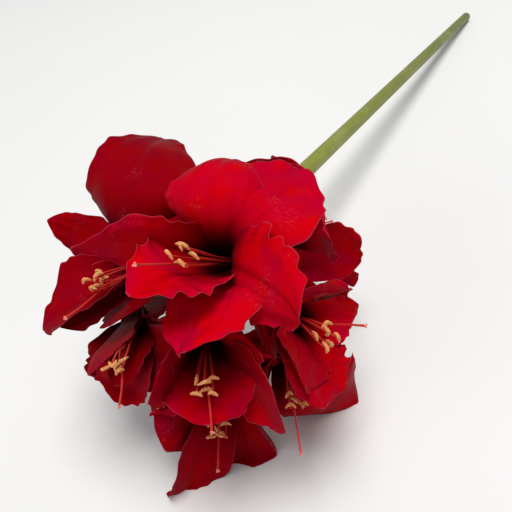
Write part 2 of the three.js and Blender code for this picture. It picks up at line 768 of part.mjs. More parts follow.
// The flower is turned so that the table is level and the stem runs along +Y,
// then its outline is centred over the origin with the lowest point at z = 0.
const level = new THREE.Matrix4();
const stemward = STEM_LINE.clone().addScaledVector(tableNormal, -STEM_LINE.dot(tableNormal));
stemward.normalize();
level.makeBasis(stemward.clone().cross(tableNormal), stemward, tableNormal).transpose();
for (const mesh of amaryllis.children) mesh.geometry.applyMatrix4(level);

const bounds = new THREE.Box3().setFromObject(amaryllis);
const middle = bounds.getCenter(new THREE.Vector3());
for (const mesh of amaryllis.children) {
  mesh.geometry.translate(-middle.x, -middle.y, -bounds.min.z);
}

export default amaryllis;
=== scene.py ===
# %% [markdown]
# # A cut amaryllis
# The real thing is one leafless green stem, cut off and laid down, with a dense head of dark red
# blooms at its end. Every bloom has six tepals in two layers, six stamens with a longer style
# between them, and a short flower stalk with the swollen ovary.
# We build it around a frame of plain solids that are already at the real size and place. So the
# fine pieces take the same few rules and sizes as the solids, with many more points, and then get
# what the solids leave out: ripples, ribs, thin rims, pollen and the colours of living skin.

# %% Load the frame
from math import cos, pi, radians, sin, sqrt

import bpy
import numpy as np
from mathutils import Matrix, Vector
from mathutils.bvhtree import BVHTree


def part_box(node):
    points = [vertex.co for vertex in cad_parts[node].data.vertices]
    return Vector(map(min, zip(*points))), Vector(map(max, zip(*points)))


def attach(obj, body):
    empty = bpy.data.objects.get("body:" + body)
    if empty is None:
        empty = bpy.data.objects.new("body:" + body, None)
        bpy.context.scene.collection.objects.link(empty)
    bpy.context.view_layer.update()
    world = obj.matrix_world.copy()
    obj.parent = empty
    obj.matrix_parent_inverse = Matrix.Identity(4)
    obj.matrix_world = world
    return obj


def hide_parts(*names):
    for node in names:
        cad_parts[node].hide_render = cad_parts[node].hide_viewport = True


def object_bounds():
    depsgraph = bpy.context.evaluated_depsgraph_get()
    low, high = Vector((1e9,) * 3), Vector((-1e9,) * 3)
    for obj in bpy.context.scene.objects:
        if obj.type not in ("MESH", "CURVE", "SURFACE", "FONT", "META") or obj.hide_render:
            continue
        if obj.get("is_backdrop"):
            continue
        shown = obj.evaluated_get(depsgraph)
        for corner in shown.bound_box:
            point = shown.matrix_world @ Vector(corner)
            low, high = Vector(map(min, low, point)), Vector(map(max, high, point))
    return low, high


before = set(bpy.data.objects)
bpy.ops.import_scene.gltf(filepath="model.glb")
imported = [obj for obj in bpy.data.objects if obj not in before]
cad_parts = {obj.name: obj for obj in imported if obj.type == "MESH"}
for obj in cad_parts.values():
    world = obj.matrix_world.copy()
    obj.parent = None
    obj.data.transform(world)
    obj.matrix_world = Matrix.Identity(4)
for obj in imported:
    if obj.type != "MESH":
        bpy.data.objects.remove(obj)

cad_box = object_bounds()
print("frame nodes:", len(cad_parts))

# %% [markdown]
# ## Where the flower lies
# Sizes are in millimetres, as a grower would give them, and are turned into Blender's metres at
# the very end. The umbel is the point on top of the stem where all flower stalks meet. The flower
# has rolled on the table until its weight lies between its lowest petals, so the table is a
# tilted plane as seen from the flower. All shapes are worked out as the flower itself stands,
# upright, because its rules are simple there, and are laid down as the last step.

# %% The stem's line and the table
MM = 0.001
UMBEL_HEIGHT = 115
STEM_REACH = 568
STEM_TOP_RADIUS = 9.2
STEM_CUT_RADIUS = 5.4
KNOB_RADIUS = 13.5
ROLL = 12
HEAD_LIFT = 0.8


def unit(vector):
    return vector / np.linalg.norm(vector)


def compass(azimuth, height):
    """A direction from two angles in degrees: 0 points away from the stem, 90 to +X."""
    a, h = radians(azimuth), radians(height)
    return np.array([sin(a) * cos(h), -cos(a) * cos(h), sin(h)])


UP = np.array([0.0, 0.0, 1.0])
UMBEL = UMBEL_HEIGHT * UP
CUT_END = np.array([0.0, STEM_REACH, STEM_CUT_RADIUS])
STEM_LENGTH = np.linalg.norm(CUT_END - UMBEL)
STEM_LINE = unit(CUT_END - UMBEL)
TABLE_NORMAL = unit(compass(-90, 90 - ROLL) - sin(radians(HEAD_LIFT)) * STEM_LINE)
CUT_END_DROP = STEM_CUT_RADIUS * sqrt(1 - (TABLE_NORMAL @ STEM_LINE) ** 2)
TABLE = (CUT_END - TABLE_NORMAL * CUT_END_DROP, TABLE_NORMAL)
print("stem length, mm:", round(STEM_LENGTH, 1))

# %% [markdown]
# The frame's stem tells where the flower stands: its lowest point is on the table, its knob gives
# the umbel. From that we get one matrix that levels the table, turns the stem along +Y and puts
# everything at its place in metres.

# %% From the flower to the frame
level_y = unit(STEM_LINE - TABLE_NORMAL * (STEM_LINE @ TABLE_NORMAL))
LEVEL = np.array([np.cross(level_y, TABLE_NORMAL), level_y, TABLE_NORMAL])
stem_low, stem_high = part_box("stem")
umbel_in_frame = np.array([
    (stem_low.x + stem_high.x) / 2 / MM,
    stem_low.y / MM + KNOB_RADIUS * (LEVEL @ STEM_LINE)[1],
    (UMBEL - TABLE[0]) @ TABLE_NORMAL,
])
SHIFT = umbel_in_frame - LEVEL @ UMBEL


def to_frame(points):
    """Points of the flower in millimetres, as places in the frame in metres."""
    return (np.asarray(points) @ LEVEL.T + SHIFT) * MM


print("umbel in the frame, mm:", np.round(umbel_in_frame, 2))

# %% [markdown]
# ## The eight blooms
# One row describes one tepal: its turn round the bloom, how far it flares and curls, its length
# and width, its twist and sway, and how the blade is cupped near the root and rolled at the tip.
# Angles are in degrees. A row of five numbers is a plain tepal, with the blade of PLAIN_BLADE.
# The number after the style is each bloom's share of the deep tone: painted shade, set for the
# light that falls on that bloom. `frilled` says which tepals have a stronger crimp than the others.
# A table of such rows is easier to read and to change than a hand-placed mesh.

# %% The eight blooms
TEPAL_KEYS = ["turn", "flare", "curl", "length", "width", "twist", "sway", "cup", "roll"]
PLAIN_BLADE = {"twist": 0, "sway": 0, "cup": 25, "roll": -15}
BLOOMS = [
    dict(
        name="front", throat=[38, -32, 64], face=[-5, 50], middle=[36, -61, 99],
        stamens=[-6, 52, 66], style=[-9, 46, 97], painted_shade=0.05, frilled={0: 2.6, 4: 2.4},
        tepals=[
            [-175, -15, 57, 99, 58, 9, -7, 73, -4],
            [-100, 34, -25, 111, 51, -55, 19, 8, -35],
            [-30, 79, 107, 113, 70, 9, -6, -52, -25],
            [16, 124, 30, 122, 72, -16, 4, 20, 2],
            [69, 64, -31, 116, 64, 18, -20, -25, -36],
            [146, 38, -15, 93, 84, 29, 5, 16, -61],
        ],
    ),
    dict(
        name="left", throat=[-25, -46, 20], face=[-18, 51], middle=[-34, -73, 55],
        stamens=[0, 41, 65], style=[1, 28, 88], painted_shade=0.62, frilled={},
        tepals=[
            [166, 31, 54, 97, 66, 23, -30, 103, -1],
            [174, 45, 4, 83, 44, 3, -1, 62, -12],
            [-97, 62, -19, 89, 36, 0, 13, 29, -30],
            [-31, 107, 51, 154, 88, 12, 26, -73, 16],
            [4, 76, 90, 90, 96, 0, 0, 20, -15],
            [90, 79, 45, 93, 85],
        ],
    ),
    dict(
        name="lower_left", throat=[-14, -76, -1], face=[13, 17], middle=[22, -100, 19],
        stamens=[27, 32, 66], style=[35, 25, 93], painted_shade=0.5, frilled={},
        tepals=[
            [156, 7, 4, 60, 41, 7, -2, 45, -23],
            [-179, 61, 50, 86, 63, 20, 0, 51, -8],
            [-71, 9, -59, 76, 54, 16, -7, 40, 17],
            [-4, 105, 86, 57, 49],
            [83, 75, 17, 55, 93],
            [89, 100, 42, 78, 96, 0, 0, 35, -15],
        ],
    ),
    dict(
        name="lower", throat=[44, -68, 17], face=[34, 26], middle=[66, -102, 36],
        stamens=[37, 33, 65], style=[40, 24, 88], painted_shade=0.32, frilled={1: 2.2},
        tepals=[
            [167, -6, -4, 82, 65, -16, 5, 41, -21],
            [-80, 47, 4, 94, 48, -6, 1, 40, -9],
            [-24, 72, 20, 96, 80],
            [32, 66, 33, 100, 84],
            [102, 82, -23, 110, 63, 0, -1, 38, -20],
            [107, 52, 76, 65, 44, 18, -1, 52, 5],
        ],
    ),
    dict(
        name="right", throat=[87, -25, 25], face=[74, 45], middle=[118, -34, 57],
        stamens=[60, 46, 62], style=[87, 42, 70], painted_shade=0.16, frilled={1: 1.8},
        tepals=[
            [113, 41, 60, 54, 38, 15, -5, 89, 8],
            [-147, 45, 13, 74, 60, -11, 1, 48, -25],
            [-112, 32, 7, 76, 48, -10, 6, 42, -15],
            [-42, 105, 34, 72, 76],
            [-23, 37, 24, 59, 47, -7, -3, 40, -10],
            [23, 14, 15, 59, 69, 0, 0, 30, -15],
        ],
    ),
    dict(
        name="bottom", throat=[46, -58, -51], face=[31, -1], middle=[69, -97, -52],
        stamens=[34, 17, 63], style=[34, 9, 84], painted_shade=0.52, frilled={4: 2.2},
        tepals=[
            [-106, 27, -10, 81, 66, 22, -4, 30, -41],
            [-40, 48, 20, 94, 62],
            [25, 48, 20, 94, 80],
            [109, 60, 14, 90, 80],
            [153, 53, -4, 104, 70, -6, -3, 20, -19],
            [-161, 32, 52, 141, 48, -20, -3, 94, -17],
        ],
    ),
    dict(
        name="lower_right", throat=[83, -25, -22], face=[39, 0], middle=[111, -59, -22],
        stamens=[42, 14, 56], style=[40, 2, 84], painted_shade=0.36, frilled={},
        tepals=[
            [-60, 64, 82, 70, 70, 6, -3, 40, -8],
            [-4, 72, 81, 55, 96],
            [52, 33, 33, 55, 44, 0, 0, 35, -15],
            [144, 97, -15, 118, 85, -32, 6, -19, -71],
            [-150, 105, 14, 55, 57, -1, 0, 45, -15],
            [-77, 57, 14, 90, 69],
        ],
    ),
    dict(
        name="back", throat=[35, 48, 2], face=[165, -8], middle=[47, 91, -4],
        stamens=[165, -28, 50], style=[163, -26, 62], painted_shade=0.0, frilled={},
        tepals=[
            [-125, 58, 24, 74, 83, -30, 5, 8, -23],
            [-57, 98, 11, 63, 52, 0, 0, 45, -15],
            [52, 69, 21, 76, 59, -3, 0, 42, -18],
            [76, 80, 71, 95, 70, -2, 7, 24, -20],
            [138, 56, 25, 88, 56],
            [-139, 54, 20, 98, 44],
        ],
    ),
]
print("tepals:", sum(len(row["tepals"]) for row in BLOOMS))

# %% [markdown]
# ## Room for every bloom
# Petals of neighbouring blooms press against each other without passing through. A collision
# simulation could do that, but slowly and never twice alike. So we give each bloom its own cell:
# walls halfway to its neighbours, which lean so that the upper bloom lies over the lower one like
# a roof tile. A bloom also gets axes of its own: `d` looks out of it, `up` is its upper side and
# `right` is the right hand of someone who looks in.

# %% Axes and walls
OVERLAP = 0.45
THROAT_ROOM = 11


def lay_out(number, row):
    d = compass(*row["face"])
    up = unit(UP - d * (UP @ d))
    places = {"throat": UMBEL + np.array(row["throat"]), "middle": UMBEL + np.array(row["middle"])}
    return {**row, **places, "number": number, "d": d, "up": up, "right": np.cross(up, d)}


def outward(bloom, angle):
    """The direction across the bloom's axis at an angle, from its upper side."""
    return bloom["up"] * cos(angle) + bloom["right"] * sin(angle)


def wall_between(bloom, other):
    """A point and a normal of the wall; both throats keep their room from it."""
    normal = unit(bloom["middle"] - other["middle"])
    point = (bloom["middle"] + other["middle"]) / 2
    lift = unit(point - UMBEL) + UP
    lift = unit(lift - normal * (lift @ normal))
    above = 1 if bloom["number"] < other["number"] else -1
    normal = unit(normal + lift * above * OVERLAP)
    room = (bloom["throat"] - point) @ normal
    other_room = -(other["throat"] - point) @ normal
    if room < THROAT_ROOM:
        point = point + normal * (room - THROAT_ROOM)
    if other_room < THROAT_ROOM:
        point = point + normal * (THROAT_ROOM - other_room)
    return point, normal


blooms = [lay_out(number, row) for number, row in enumerate(BLOOMS)]
for bloom in blooms:
    bloom["walls"] = [wall_between(bloom, other) for other in blooms if other is not bloom]
print("walls of a bloom:", len(blooms[0]["walls"]))

# %% [markdown]
# A point that comes near a wall, the stem or the table is bent away from it softly, which is what
# makes the crowded head look pressed together. Near the root the bend is short, so that the
# throat keeps its form.

# %% Bending clear of walls, stem and table
TEPAL_HALF_THICKNESS = 0.4
WALL_GAP = 0.8
WALL_SLACK = 0.04
WALL_SOFTNESS = 7
ROOT_SOFTNESS = 1
ROOT_SHARE = 0.3
TABLE_REACH = 3
STEM_GAP = 2
OWN_SIDE = 0.9
BENDING_ROUNDS = 3


def clamp(values):
    return np.clip(values, 0, 1)


def from_wall(points, wall):
    point, normal = wall
    return (points - point) @ normal


def bend_from_wall(points, wall, gap, reach):
    """From `reach` on, the points come closer more and more slowly and never pass `gap`."""
    distance = from_wall(points, wall)
    bent = gap + (reach - gap) * np.exp(np.minimum(0, distance - reach) / (reach - gap))
    return points + wall[1] * (np.where(distance > reach, distance, bent) - distance)[..., None]


def stem_side_wall(bloom, turn):
    """A bloom beside the stem has each tepal pass the stem on the tepal's own side."""
    if bloom["throat"][1] < UMBEL[1]:
        return None
    offset = bloom["throat"] - UMBEL
    offset = unit(offset - STEM_LINE * (offset @ STEM_LINE))
    normal = offset + OWN_SIDE * outward(bloom, radians(turn))
    normal = unit(normal - STEM_LINE * (normal @ STEM_LINE))
    return UMBEL + normal * (STEM_TOP_RADIUS + STEM_GAP), normal


def keep_clear(points, bloom, t, u):
    grow = clamp(u / ROOT_SHARE)[:, None]
    gap = WALL_GAP + (t["wall_gap"] - WALL_GAP) * grow
    reach = gap + ROOT_SOFTNESS + (WALL_SOFTNESS - ROOT_SOFTNESS) * grow
    for _ in range(BENDING_ROUNDS):
        if t["stem_wall"]:
            points = bend_from_wall(points, t["stem_wall"], 0, WALL_SOFTNESS)
        for wall in bloom["walls"]:
            points = bend_from_wall(points, wall, gap, reach)
    points = bend_from_wall(points, TABLE, TEPAL_HALF_THICKNESS, TABLE_REACH)
    for wall in bloom["walls"]:
        missing = np.maximum(0, WALL_GAP - WALL_SLACK - from_wall(points, wall))
        points = points + wall[1] * missing[..., None]
    return points


print("least room between two blooms' sheets, mm:", 2 * (WALL_GAP - WALL_SLACK))

# %% [markdown]
# ## One tepal as a sheet
# A tepal starts as a narrow claw in the throat, widens, and ends in a blunt point. Its midline
# leans out further and further, its cross-section is a shallow arc with a midrib, and its edges
# are waved. It could be sculpted, but forty-eight of them in a crowd have to keep clear of each
# other, so we work out each whole grid of points at once with numpy: `u` runs along the tepal and
# `v` across it.

# %% The midline and the outline of a tepal
CLAW_DEPTH = 8
CLAW_ARC = 0.95
WIDEST_AT = 0.56
SIDE_RISE = 1.15
SIDE_FALL = 1.9
TIP_BLUNTNESS = 0.72
TIP_SHARE = 0.07
ROOT_TILT = 10
OPENING_LENGTH = 0.7
CURL_START = 0.35
CURL_POWER = 1.6
SWAY_POWER = 1.5
SPINE_STEPS = 60


def half_width(t, u):
    claw = CLAW_ARC * t["root"]
    rise = np.sin(clamp(u / WIDEST_AT) * pi / 2) ** SIDE_RISE
    fall = clamp((u - WIDEST_AT) / (1 - WIDEST_AT))
    end = np.maximum(TIP_SHARE, (1 - fall ** SIDE_FALL) ** TIP_BLUNTNESS)
    return np.where(u < WIDEST_AT, claw + (t["width"] / 2 - claw) * rise, t["width"] / 2 * end)


def lean_at(t, u):
    opening = (1 - np.cos(pi * clamp(u / OPENING_LENGTH))) / 2
    tip = clamp((u - CURL_START) / (1 - CURL_START)) ** CURL_POWER
    return np.radians(ROOT_TILT + t["flare"] * opening + t["curl"] * tip)


def sway_at(t, u):
    return np.radians(t["sway"]) * u ** SWAY_POWER


def midline(t, u):
    """Distance from the bloom's axis, distance along it and sideways drift."""
    steps = np.linspace(0, 1, SPINE_STEPS + 1)
    step = t["length"] / SPINE_STEPS

    def add_up(heading):
        return np.interp(u, steps, np.concatenate([[0], np.cumsum(heading)]) * step)

    def between(angles):
        return (angles[1:] + angles[:-1]) / 2

    lean, sway = between(lean_at(t, steps)), between(sway_at(t, steps))
    return add_up(np.sin(lean)) + t["root"], add_up(np.cos(lean)) - CLAW_DEPTH, add_up(np.sin(sway))


print("half widths of a tepal 60 mm wide:", half_width({"root": 5, "width": 60}, np.arange(6) / 5).round(1))

# %% [markdown]
# Three kinds of wave shape the blade. The slow one is the ruffle of the margin. The fine one is
# the crimp that dries into the very edge of an old petal, so it dies out a few millimetres in.
# The frill moves the margin in its own plane, which breaks the too even outline. The odd factors
# beside the phase only keep one tepal's waves from being another's.

# %% Waves of the blade
RUFFLE_HEIGHT = 3
RUFFLE_WAVES = 2.2
CRIMP_HEIGHT = 0.75
CRIMP_WAVES = 8.5
CRIMP_DRIFT = 1.3 / (2 * pi)
DENT_DEPTH = 0.7
SLOW_FRILL, QUICK_FRILL = 0.045, 0.03
FRILL_DRIFT = 1.5 / (2 * pi)


def wave(turns):
    return np.sin(2 * pi * turns)


def fade(u, start, rise, fall):
    """Grows from nothing at `start` and dies out towards the tip."""
    return clamp((u - start) / rise) * clamp((1 - u) / fall)


def ruffle(t, u, v):
    ends = clamp(u / 0.35) ** 1.5 * clamp((1 - u) / 0.12) ** 0.7
    turns = RUFFLE_WAVES * u + t["phase"] + 0.27 * np.sign(v)
    return RUFFLE_HEIGHT * np.abs(v) ** 2.5 * wave(turns) * ends


def crimp(t, u, v):
    """Fine waves at the margin and soft dents in the blade."""
    drift = CRIMP_DRIFT * wave(2.7 * u + 1.9 * t["phase"])
    fine = wave(CRIMP_WAVES * u + 3.1 * t["phase"] + 0.4 * np.sign(v) + drift)
    dents = wave(1.7 * u + 0.8 * v + 2.3 * t["phase"]) * wave(0.9 * v - 1.2 * u + t["phase"])
    edge = CRIMP_HEIGHT * t["frilled"] * np.abs(v) ** 5
    return (edge * fine + DENT_DEPTH * dents) * fade(u, 0.2, 0.3, 0.1)


def frill(t, u, v):
    """How far the margin bulges out (in shares of the half width), uneven on its two sides."""
    slow = wave(3.1 * u + 1.7 * t["phase"] + 0.31 * np.sign(v))
    quick = wave(7.3 * u + 2.9 * t["phase"] + 0.17 * np.sign(v) + FRILL_DRIFT * slow)
    bulge = SLOW_FRILL * slow + QUICK_FRILL * t["frilled"] * quick
    return bulge * np.abs(v) ** 4 * fade(u, 0.3, 0.25, 0.12)


print("ruffle, crimp and dents, mm:", RUFFLE_HEIGHT, CRIMP_HEIGHT, DENT_DEPTH)

# %% [markdown]
# The sheet puts all of this together. At every point of the midline there are three directions:
# along the tepal, across it and towards its inner side. The cross-section is an arc in the last
# two, from the claw's round one to the blade's shallow one, and the twist turns both.

# %% The sheet of points
KEEL_HEIGHT = 1.2
KEEL_WIDTH = 4
CLAW_SHARE = 0.25
FLATTEST_ARC = 1e-3
TIP_CROWDING = 1.2


def square_to(vectors, tangent):
    """Unit vectors at right angles to the tangent."""
    vectors = vectors - tangent * np.sum(vectors * tangent, axis=1)[:, None]
    return vectors / np.linalg.norm(vectors, axis=1)[:, None]


def blade_axes(t, u, d, out, side):
    """The directions across the blade and to its inner side, for each step along it."""
    lean, sway = lean_at(t, u)[:, None], sway_at(t, u)[:, None]
    tangent = out * np.sin(lean) + d * np.cos(lean) + side * np.sin(sway)
    tangent /= np.linalg.norm(tangent, axis=1)[:, None]
    inner = square_to(d * np.sin(lean) - out * np.cos(lean), tangent)
    across = np.cross(inner, tangent)
    twist = (np.radians(t["twist"]) * u)[:, None]
    return across * np.cos(twist) + inner * np.sin(twist), inner * np.cos(twist) - across * np.sin(twist)


def tepal_sheet(bloom, t, rows, columns):
    u = 1 - (1 - np.linspace(0, 1, rows + 1)) ** TIP_CROWDING
    v = np.linspace(-1, 1, columns + 1)[None, :]
    d, out = bloom["d"], outward(bloom, radians(t["turn"]))
    side = np.cross(d, out)
    away, ahead, drift = (values[:, None] for values in midline(t, u))
    spine = bloom["throat"] + out * away + d * ahead + side * drift
    across, inner = blade_axes(t, u, d, out, side)

    half = half_width(t, u)
    claw = clamp(1 - u / CLAW_SHARE)
    blade_arc = np.radians(t["cup"] * (1 - u) ** 0.8 + t["roll"] * u ** 1.5)
    arc = blade_arc * (1 - claw) + CLAW_ARC * claw
    bend = (np.where(np.abs(arc) < FLATTEST_ARC, FLATTEST_ARC, arc) / half)[:, None]

    along = u[:, None]
    s = v * half[:, None] * (1 + frill(t, along, v))
    keel = KEEL_HEIGHT * np.exp(-((s / KEEL_WIDTH) ** 2)) * np.sqrt(np.sin(pi * along).clip(0))
    lift = (1 - np.cos(bend * s)) / bend + ruffle(t, along, v) + crimp(t, along, v) - keel
    points = spine[:, None] + across[:, None] * (np.sin(bend * s) / bend)[..., None]
    points = points + inner[:, None] * lift[..., None]
    return keep_clear(points, bloom, t, u), u, v[0]


# %% [markdown]
# Inner and outer tepals take turns round the bloom, and the outer ones start a little further from
# its axis. Each tepal also keeps more room from the walls than the one before it, so that the
# tepals of one bloom lie in layers where they are pressed.

# %% All tepals of a bloom
INNER_ROOT, OUTER_ROOT = 4.6, 6.3
LAYER_GAP = 1.1
TEPAL_ROWS = 84
TEPAL_COLUMNS = 40


def named_tepal(bloom, row, k):
    t = {**PLAIN_BLADE, **dict(zip(TEPAL_KEYS, row))}
    t["root"] = INNER_ROOT if k % 2 == 0 else OUTER_ROOT
    t["wall_gap"] = WALL_GAP + LAYER_GAP * k
    t["stem_wall"] = stem_side_wall(bloom, t["turn"])
    t["phase"] = 0.37 * k + 0.23 * bloom["number"]
    t["frilled"] = bloom["frilled"].get(k, 1.0)
    return t


for bloom in blooms:
    named_ones = [named_tepal(bloom, row, k) for k, row in enumerate(bloom["tepals"])]
    bloom["sheets"] = [tepal_sheet(bloom, t, TEPAL_ROWS, TEPAL_COLUMNS) for t in named_ones]
print("points in a tepal:", (TEPAL_ROWS + 1) * (TEPAL_COLUMNS + 1))

# %% [markdown]
# ## Helpers for node trees
# Shader trees and Geometry Nodes trees are both built from nodes and links. A few short helpers
# keep the rest readable: one makes a tree with named inputs, one plugs inputs in, one places a
# node. A socket knows its own tree, so sums and ramps of sockets need no tree as an argument.

# %% Trees and nodes


def new_tree(name, kind, inputs, outputs):
    """A node group; an input is given by its default value, or by its type if it has none."""
    tree = bpy.data.node_groups.new(name, kind)

    def add_socket(label, in_out, sort):
        return tree.interface.new_socket(label, in_out=in_out, socket_type="NodeSocket" + sort)

    for label, value in inputs.items():
        if isinstance(value, str):
            add_socket(label, "INPUT", value)
        else:
            sort = {int: "Int", float: "Float", tuple: "Vector"}[type(value)]
            add_socket(label, "INPUT", sort).default_value = value
    for label, sort in outputs.items():
        add_socket(label, "OUTPUT", sort)
    given = tree.nodes.new("NodeGroupInput").outputs
    return tree, given, tree.nodes.new("NodeGroupOutput")


def is_socket(value):
    return isinstance(value, bpy.types.NodeSocket)


def plug(node, inputs):
    """Sets inputs of a node; each is a number, a colour or the socket that feeds it."""
    for key, value in inputs.items():
        if is_socket(value):
            node.id_data.links.new(value, node.inputs[key])
        else:
            node.inputs[key].default_value = value
    return node


def place(tree, kind, inputs=None, **settings):
    node = tree.nodes.new(kind)
    for key, value in settings.items():
        setattr(node, key, value)
    return plug(node, inputs or {})


def beside(values, kind, inputs, **settings):
    """A shader node in the tree of the first socket among the values."""
    return place(next(value for value in values if is_socket(value)).id_data, kind, inputs, **settings)


# %% Sums, ramps and mixes


def maths(operation, *values, clamp=False):
    inputs = dict(enumerate(values))
    return beside(values, "ShaderNodeMath", inputs, operation=operation, use_clamp=clamp).outputs[0]


def times(*values):
    return maths("MULTIPLY", *values)


def ramp(value, low, high, to_low=0.0, to_high=1.0, smooth=True):
    """Turns one range of values into another, with soft ends."""
    kind = "SMOOTHSTEP" if smooth else "LINEAR"
    inputs = {0: value, 1: low, 2: high, 3: to_low, 4: to_high}
    return beside([value], "ShaderNodeMapRange", inputs, interpolation_type=kind).outputs[0]


def mix_color(factor, a, b, blend="MIX"):
    inputs = {0: factor, 6: a, 7: b}
    settings = dict(data_type="RGBA", blend_type=blend, clamp_factor=True)
    return beside([factor, a, b], "ShaderNodeMix", inputs, **settings).outputs[2]


def vector_of(tree, *parts):
    return place(tree, "ShaderNodeCombineXYZ", dict(enumerate(parts))).outputs[0]


def noise(vector, scale, **more):
    inputs = {"Vector": vector, "Scale": scale, **{key.title(): value for key, value in more.items()}}
    return beside([vector], "ShaderNodeTexNoise", inputs).outputs["Fac"]


# %% [markdown]
# ## Skin effects that several finishes share
# A tepal, a flower stalk and the stem are all plant skin: fine ribs run along them, the surface
# has a grain of living cells, and here and there it is rubbed or has a dry speck. Both effects
# are shader groups that are built once. They put out plain values, and each material decides how
# strongly to use them.

# %% Shader groups
SPECK_SCALE, SPECK_PATCHES = 260.0, 150.0
RUB_SCALE, FIBRE_SCALE = 34.0, 480.0


def make_vein_group():
    """Ribs and streaks that run with the growth. Grain is (across, across, along) in streaks."""
    tree, given, result = new_tree(
        "Plant Veins", "ShaderNodeTree",
        {"Grain": (0, 0, 0), "Across": 0.0, "Ribs": 40.0, "Wander": 0.0},
        {"Ribs": "Float", "Streaks": "Float"},
    )
    drift = noise(given["Grain"], 0.3, detail=2.0)
    phase = maths("MULTIPLY_ADD", drift, given["Wander"], times(given["Across"], given["Ribs"]))
    ribs = maths("MULTIPLY_ADD", maths("SINE", times(phase, 2 * pi)), 0.5, 0.5)
    plug(result, {"Ribs": ribs, "Streaks": noise(given["Grain"], 1.0, detail=4.0)})
    return tree


def make_skin_group():
    """Grain, soft blotches, dry specks and rubbed spots, from Object coordinates in metres."""
    tree, given, result = new_tree(
        "Plant Skin", "ShaderNodeTree",
        {"Place": (0, 0, 0), "Cells": 900.0, "Blotches": 60.0},
        {"Cells": "Float", "Blotches": "Float", "Specks": "Float", "Scuffs": "Float"},
    )
    where = given["Place"]
    dots = place(tree, "ShaderNodeTexVoronoi", {"Vector": where, "Scale": SPECK_SCALE})
    few = ramp(noise(where, SPECK_PATCHES), 0.62, 0.7)
    rubbed = ramp(noise(where, RUB_SCALE, detail=1.0), 0.58, 0.7)
    fibres = noise(where, FIBRE_SCALE, detail=4.0, roughness=0.7, distortion=0.6)
    plug(result, {
        "Cells": noise(where, given["Cells"], detail=2.0, roughness=0.6),
        "Blotches": noise(where, given["Blotches"], detail=3.0, roughness=0.55),
        "Specks": times(ramp(dots.outputs["Distance"], 0.09, 0.03), few),
        "Scuffs": times(rubbed, ramp(fibres, 0.5, 0.72)),
    })
    return tree


VEINS = make_vein_group()
SKIN = make_skin_group()
print("shader groups:", VEINS.name, "and", SKIN.name)

# %% Helpers for materials


def new_material(name):
    """A material with only its Principled shader and output."""
    material = bpy.data.materials.new(name)
    material.use_nodes = True
    shader = next(node for node in material.node_tree.nodes if node.type == "BSDF_PRINCIPLED")
    return material, material.node_tree, shader


def use_group(tree, group, inputs):
    return plug(place(tree, "ShaderNodeGroup", node_tree=group), inputs).outputs


def skin_of(tree, cells, blotches):
    where = place(tree, "ShaderNodeTexCoord").outputs["Object"]
    return use_group(tree, SKIN, {"Place": where, "Cells": cells, "Blotches": blotches})


def attribute(tree, label, output="Fac"):
    return place(tree, "ShaderNodeAttribute", attribute_name=label).outputs[output]


def linear(red, green, blue):
    """A colour as a screen shows it (0 to 255), turned into the light that Blender mixes."""
    def one(value):
        value /= 255
        return value / 12.92 if value <= 0.04045 else ((value + 0.055) / 1.055) ** 2.4
    return one(red), one(green), one(blue), 1.0


def bump(height, strength, distance):
    inputs = {"Height": height, "Strength": strength, "Distance": distance}
    return beside([height], "ShaderNodeBump", inputs).outputs[0]


def flesh(weight, radius, scale):
    """Light that goes a little way into living tissue."""
    return {"Subsurface Weight": weight, "Subsurface Radius": radius, "Subsurface Scale": scale}


# %% [markdown]
# ## The finish of a tepal
# A dark red amaryllis petal looks like velvet. Its finish paints shade on it: nearly black where
# it folds into the throat, darker and bluer where we look along it, and a share for each whole
# bloom. Where the light falls flat on it, the lamps make it glow red. Fine ribs run from the claw
# to the tip, the margin is a thin pale line, and tiny dry specks and rubbed spots sit on the skin.
# An image could be laid on the petals, but it would show its own light. So we mix the tones by
# rules: a UV map tells how far along and across the tepal a point is, Layer Weight tells how
# steeply we look at it, and the gloss is weak and reddish.

# %% Tones of a tepal
# The deep tone is the petals' own darker red in the streaks, and painted shade near the root and on whole
# blooms.
DEEP = linear(84, 0, 3)
BRIGHT = linear(204, 0, 14)
CRIMSON = linear(186, 0, 44)
# Painted shade where we look along a tepal.
GRAZING_SHADE = linear(128, 0, 26)
# Painted shade for the cup of the throat.
THROAT_SHADE = linear(38, 1, 3)
DRY_PINK = linear(216, 92, 112)
RIM_ROSE = linear(158, 60, 76)


def tepal_color(tree, along, across, veins, skin):
    """The tone of each place of a tepal, painted shade included, and how deep that place lies in the
    throat's painted shade.
    """
    # Darker towards the root: partly the petal's own deep tone, partly painted shade of the cup.
    color = mix_color(ramp(along, 0.1, 0.6), DEEP, BRIGHT)
    blotches = ramp(skin["Blotches"], 0.36, 0.62, 0.0, 0.95)
    color = mix_color(times(blotches, ramp(along, 0.35, 0.85, 0.35, 1.0)), color, CRIMSON)
    color = mix_color(ramp(veins["Streaks"], 0.5, 0.8, 0.0, 0.25), color, DEEP)
    # Painted shade: darker and bluer where we look along the tepal, for the velvet's look at a grazing view.
    facing = place(tree, "ShaderNodeLayerWeight", {"Blend": 0.3}).outputs["Facing"]
    color = mix_color(ramp(facing, 0.25, 0.85, 0.0, 0.6), color, GRAZING_SHADE)
    # Painted shade: a whole bloom darkens by its own share of the deep tone, for the light it gets.
    color = mix_color(attribute(tree, "painted_shade"), color, DEEP)
    # Painted shade: towards the root each tepal goes nearly black, for the shade in the cup of the throat.
    throat = ramp(along, 0.44, 0.16, 0.0, 0.97)
    color = mix_color(throat, color, THROAT_SHADE)
    dry = maths("MAXIMUM", times(skin["Specks"], 0.8), times(skin["Scuffs"], 0.26))
    color = mix_color(dry, color, DRY_PINK)
    from_middle = maths("ABSOLUTE", maths("MULTIPLY_ADD", across, 2.0, -1.0))
    rim = maths("MAXIMUM", ramp(from_middle, 0.972, 0.996), ramp(along, 0.985, 0.997))
    return mix_color(times(times(rim, ramp(along, 0.3, 0.45)), 0.6), color, RIM_ROSE), throat


# %% Tepal material


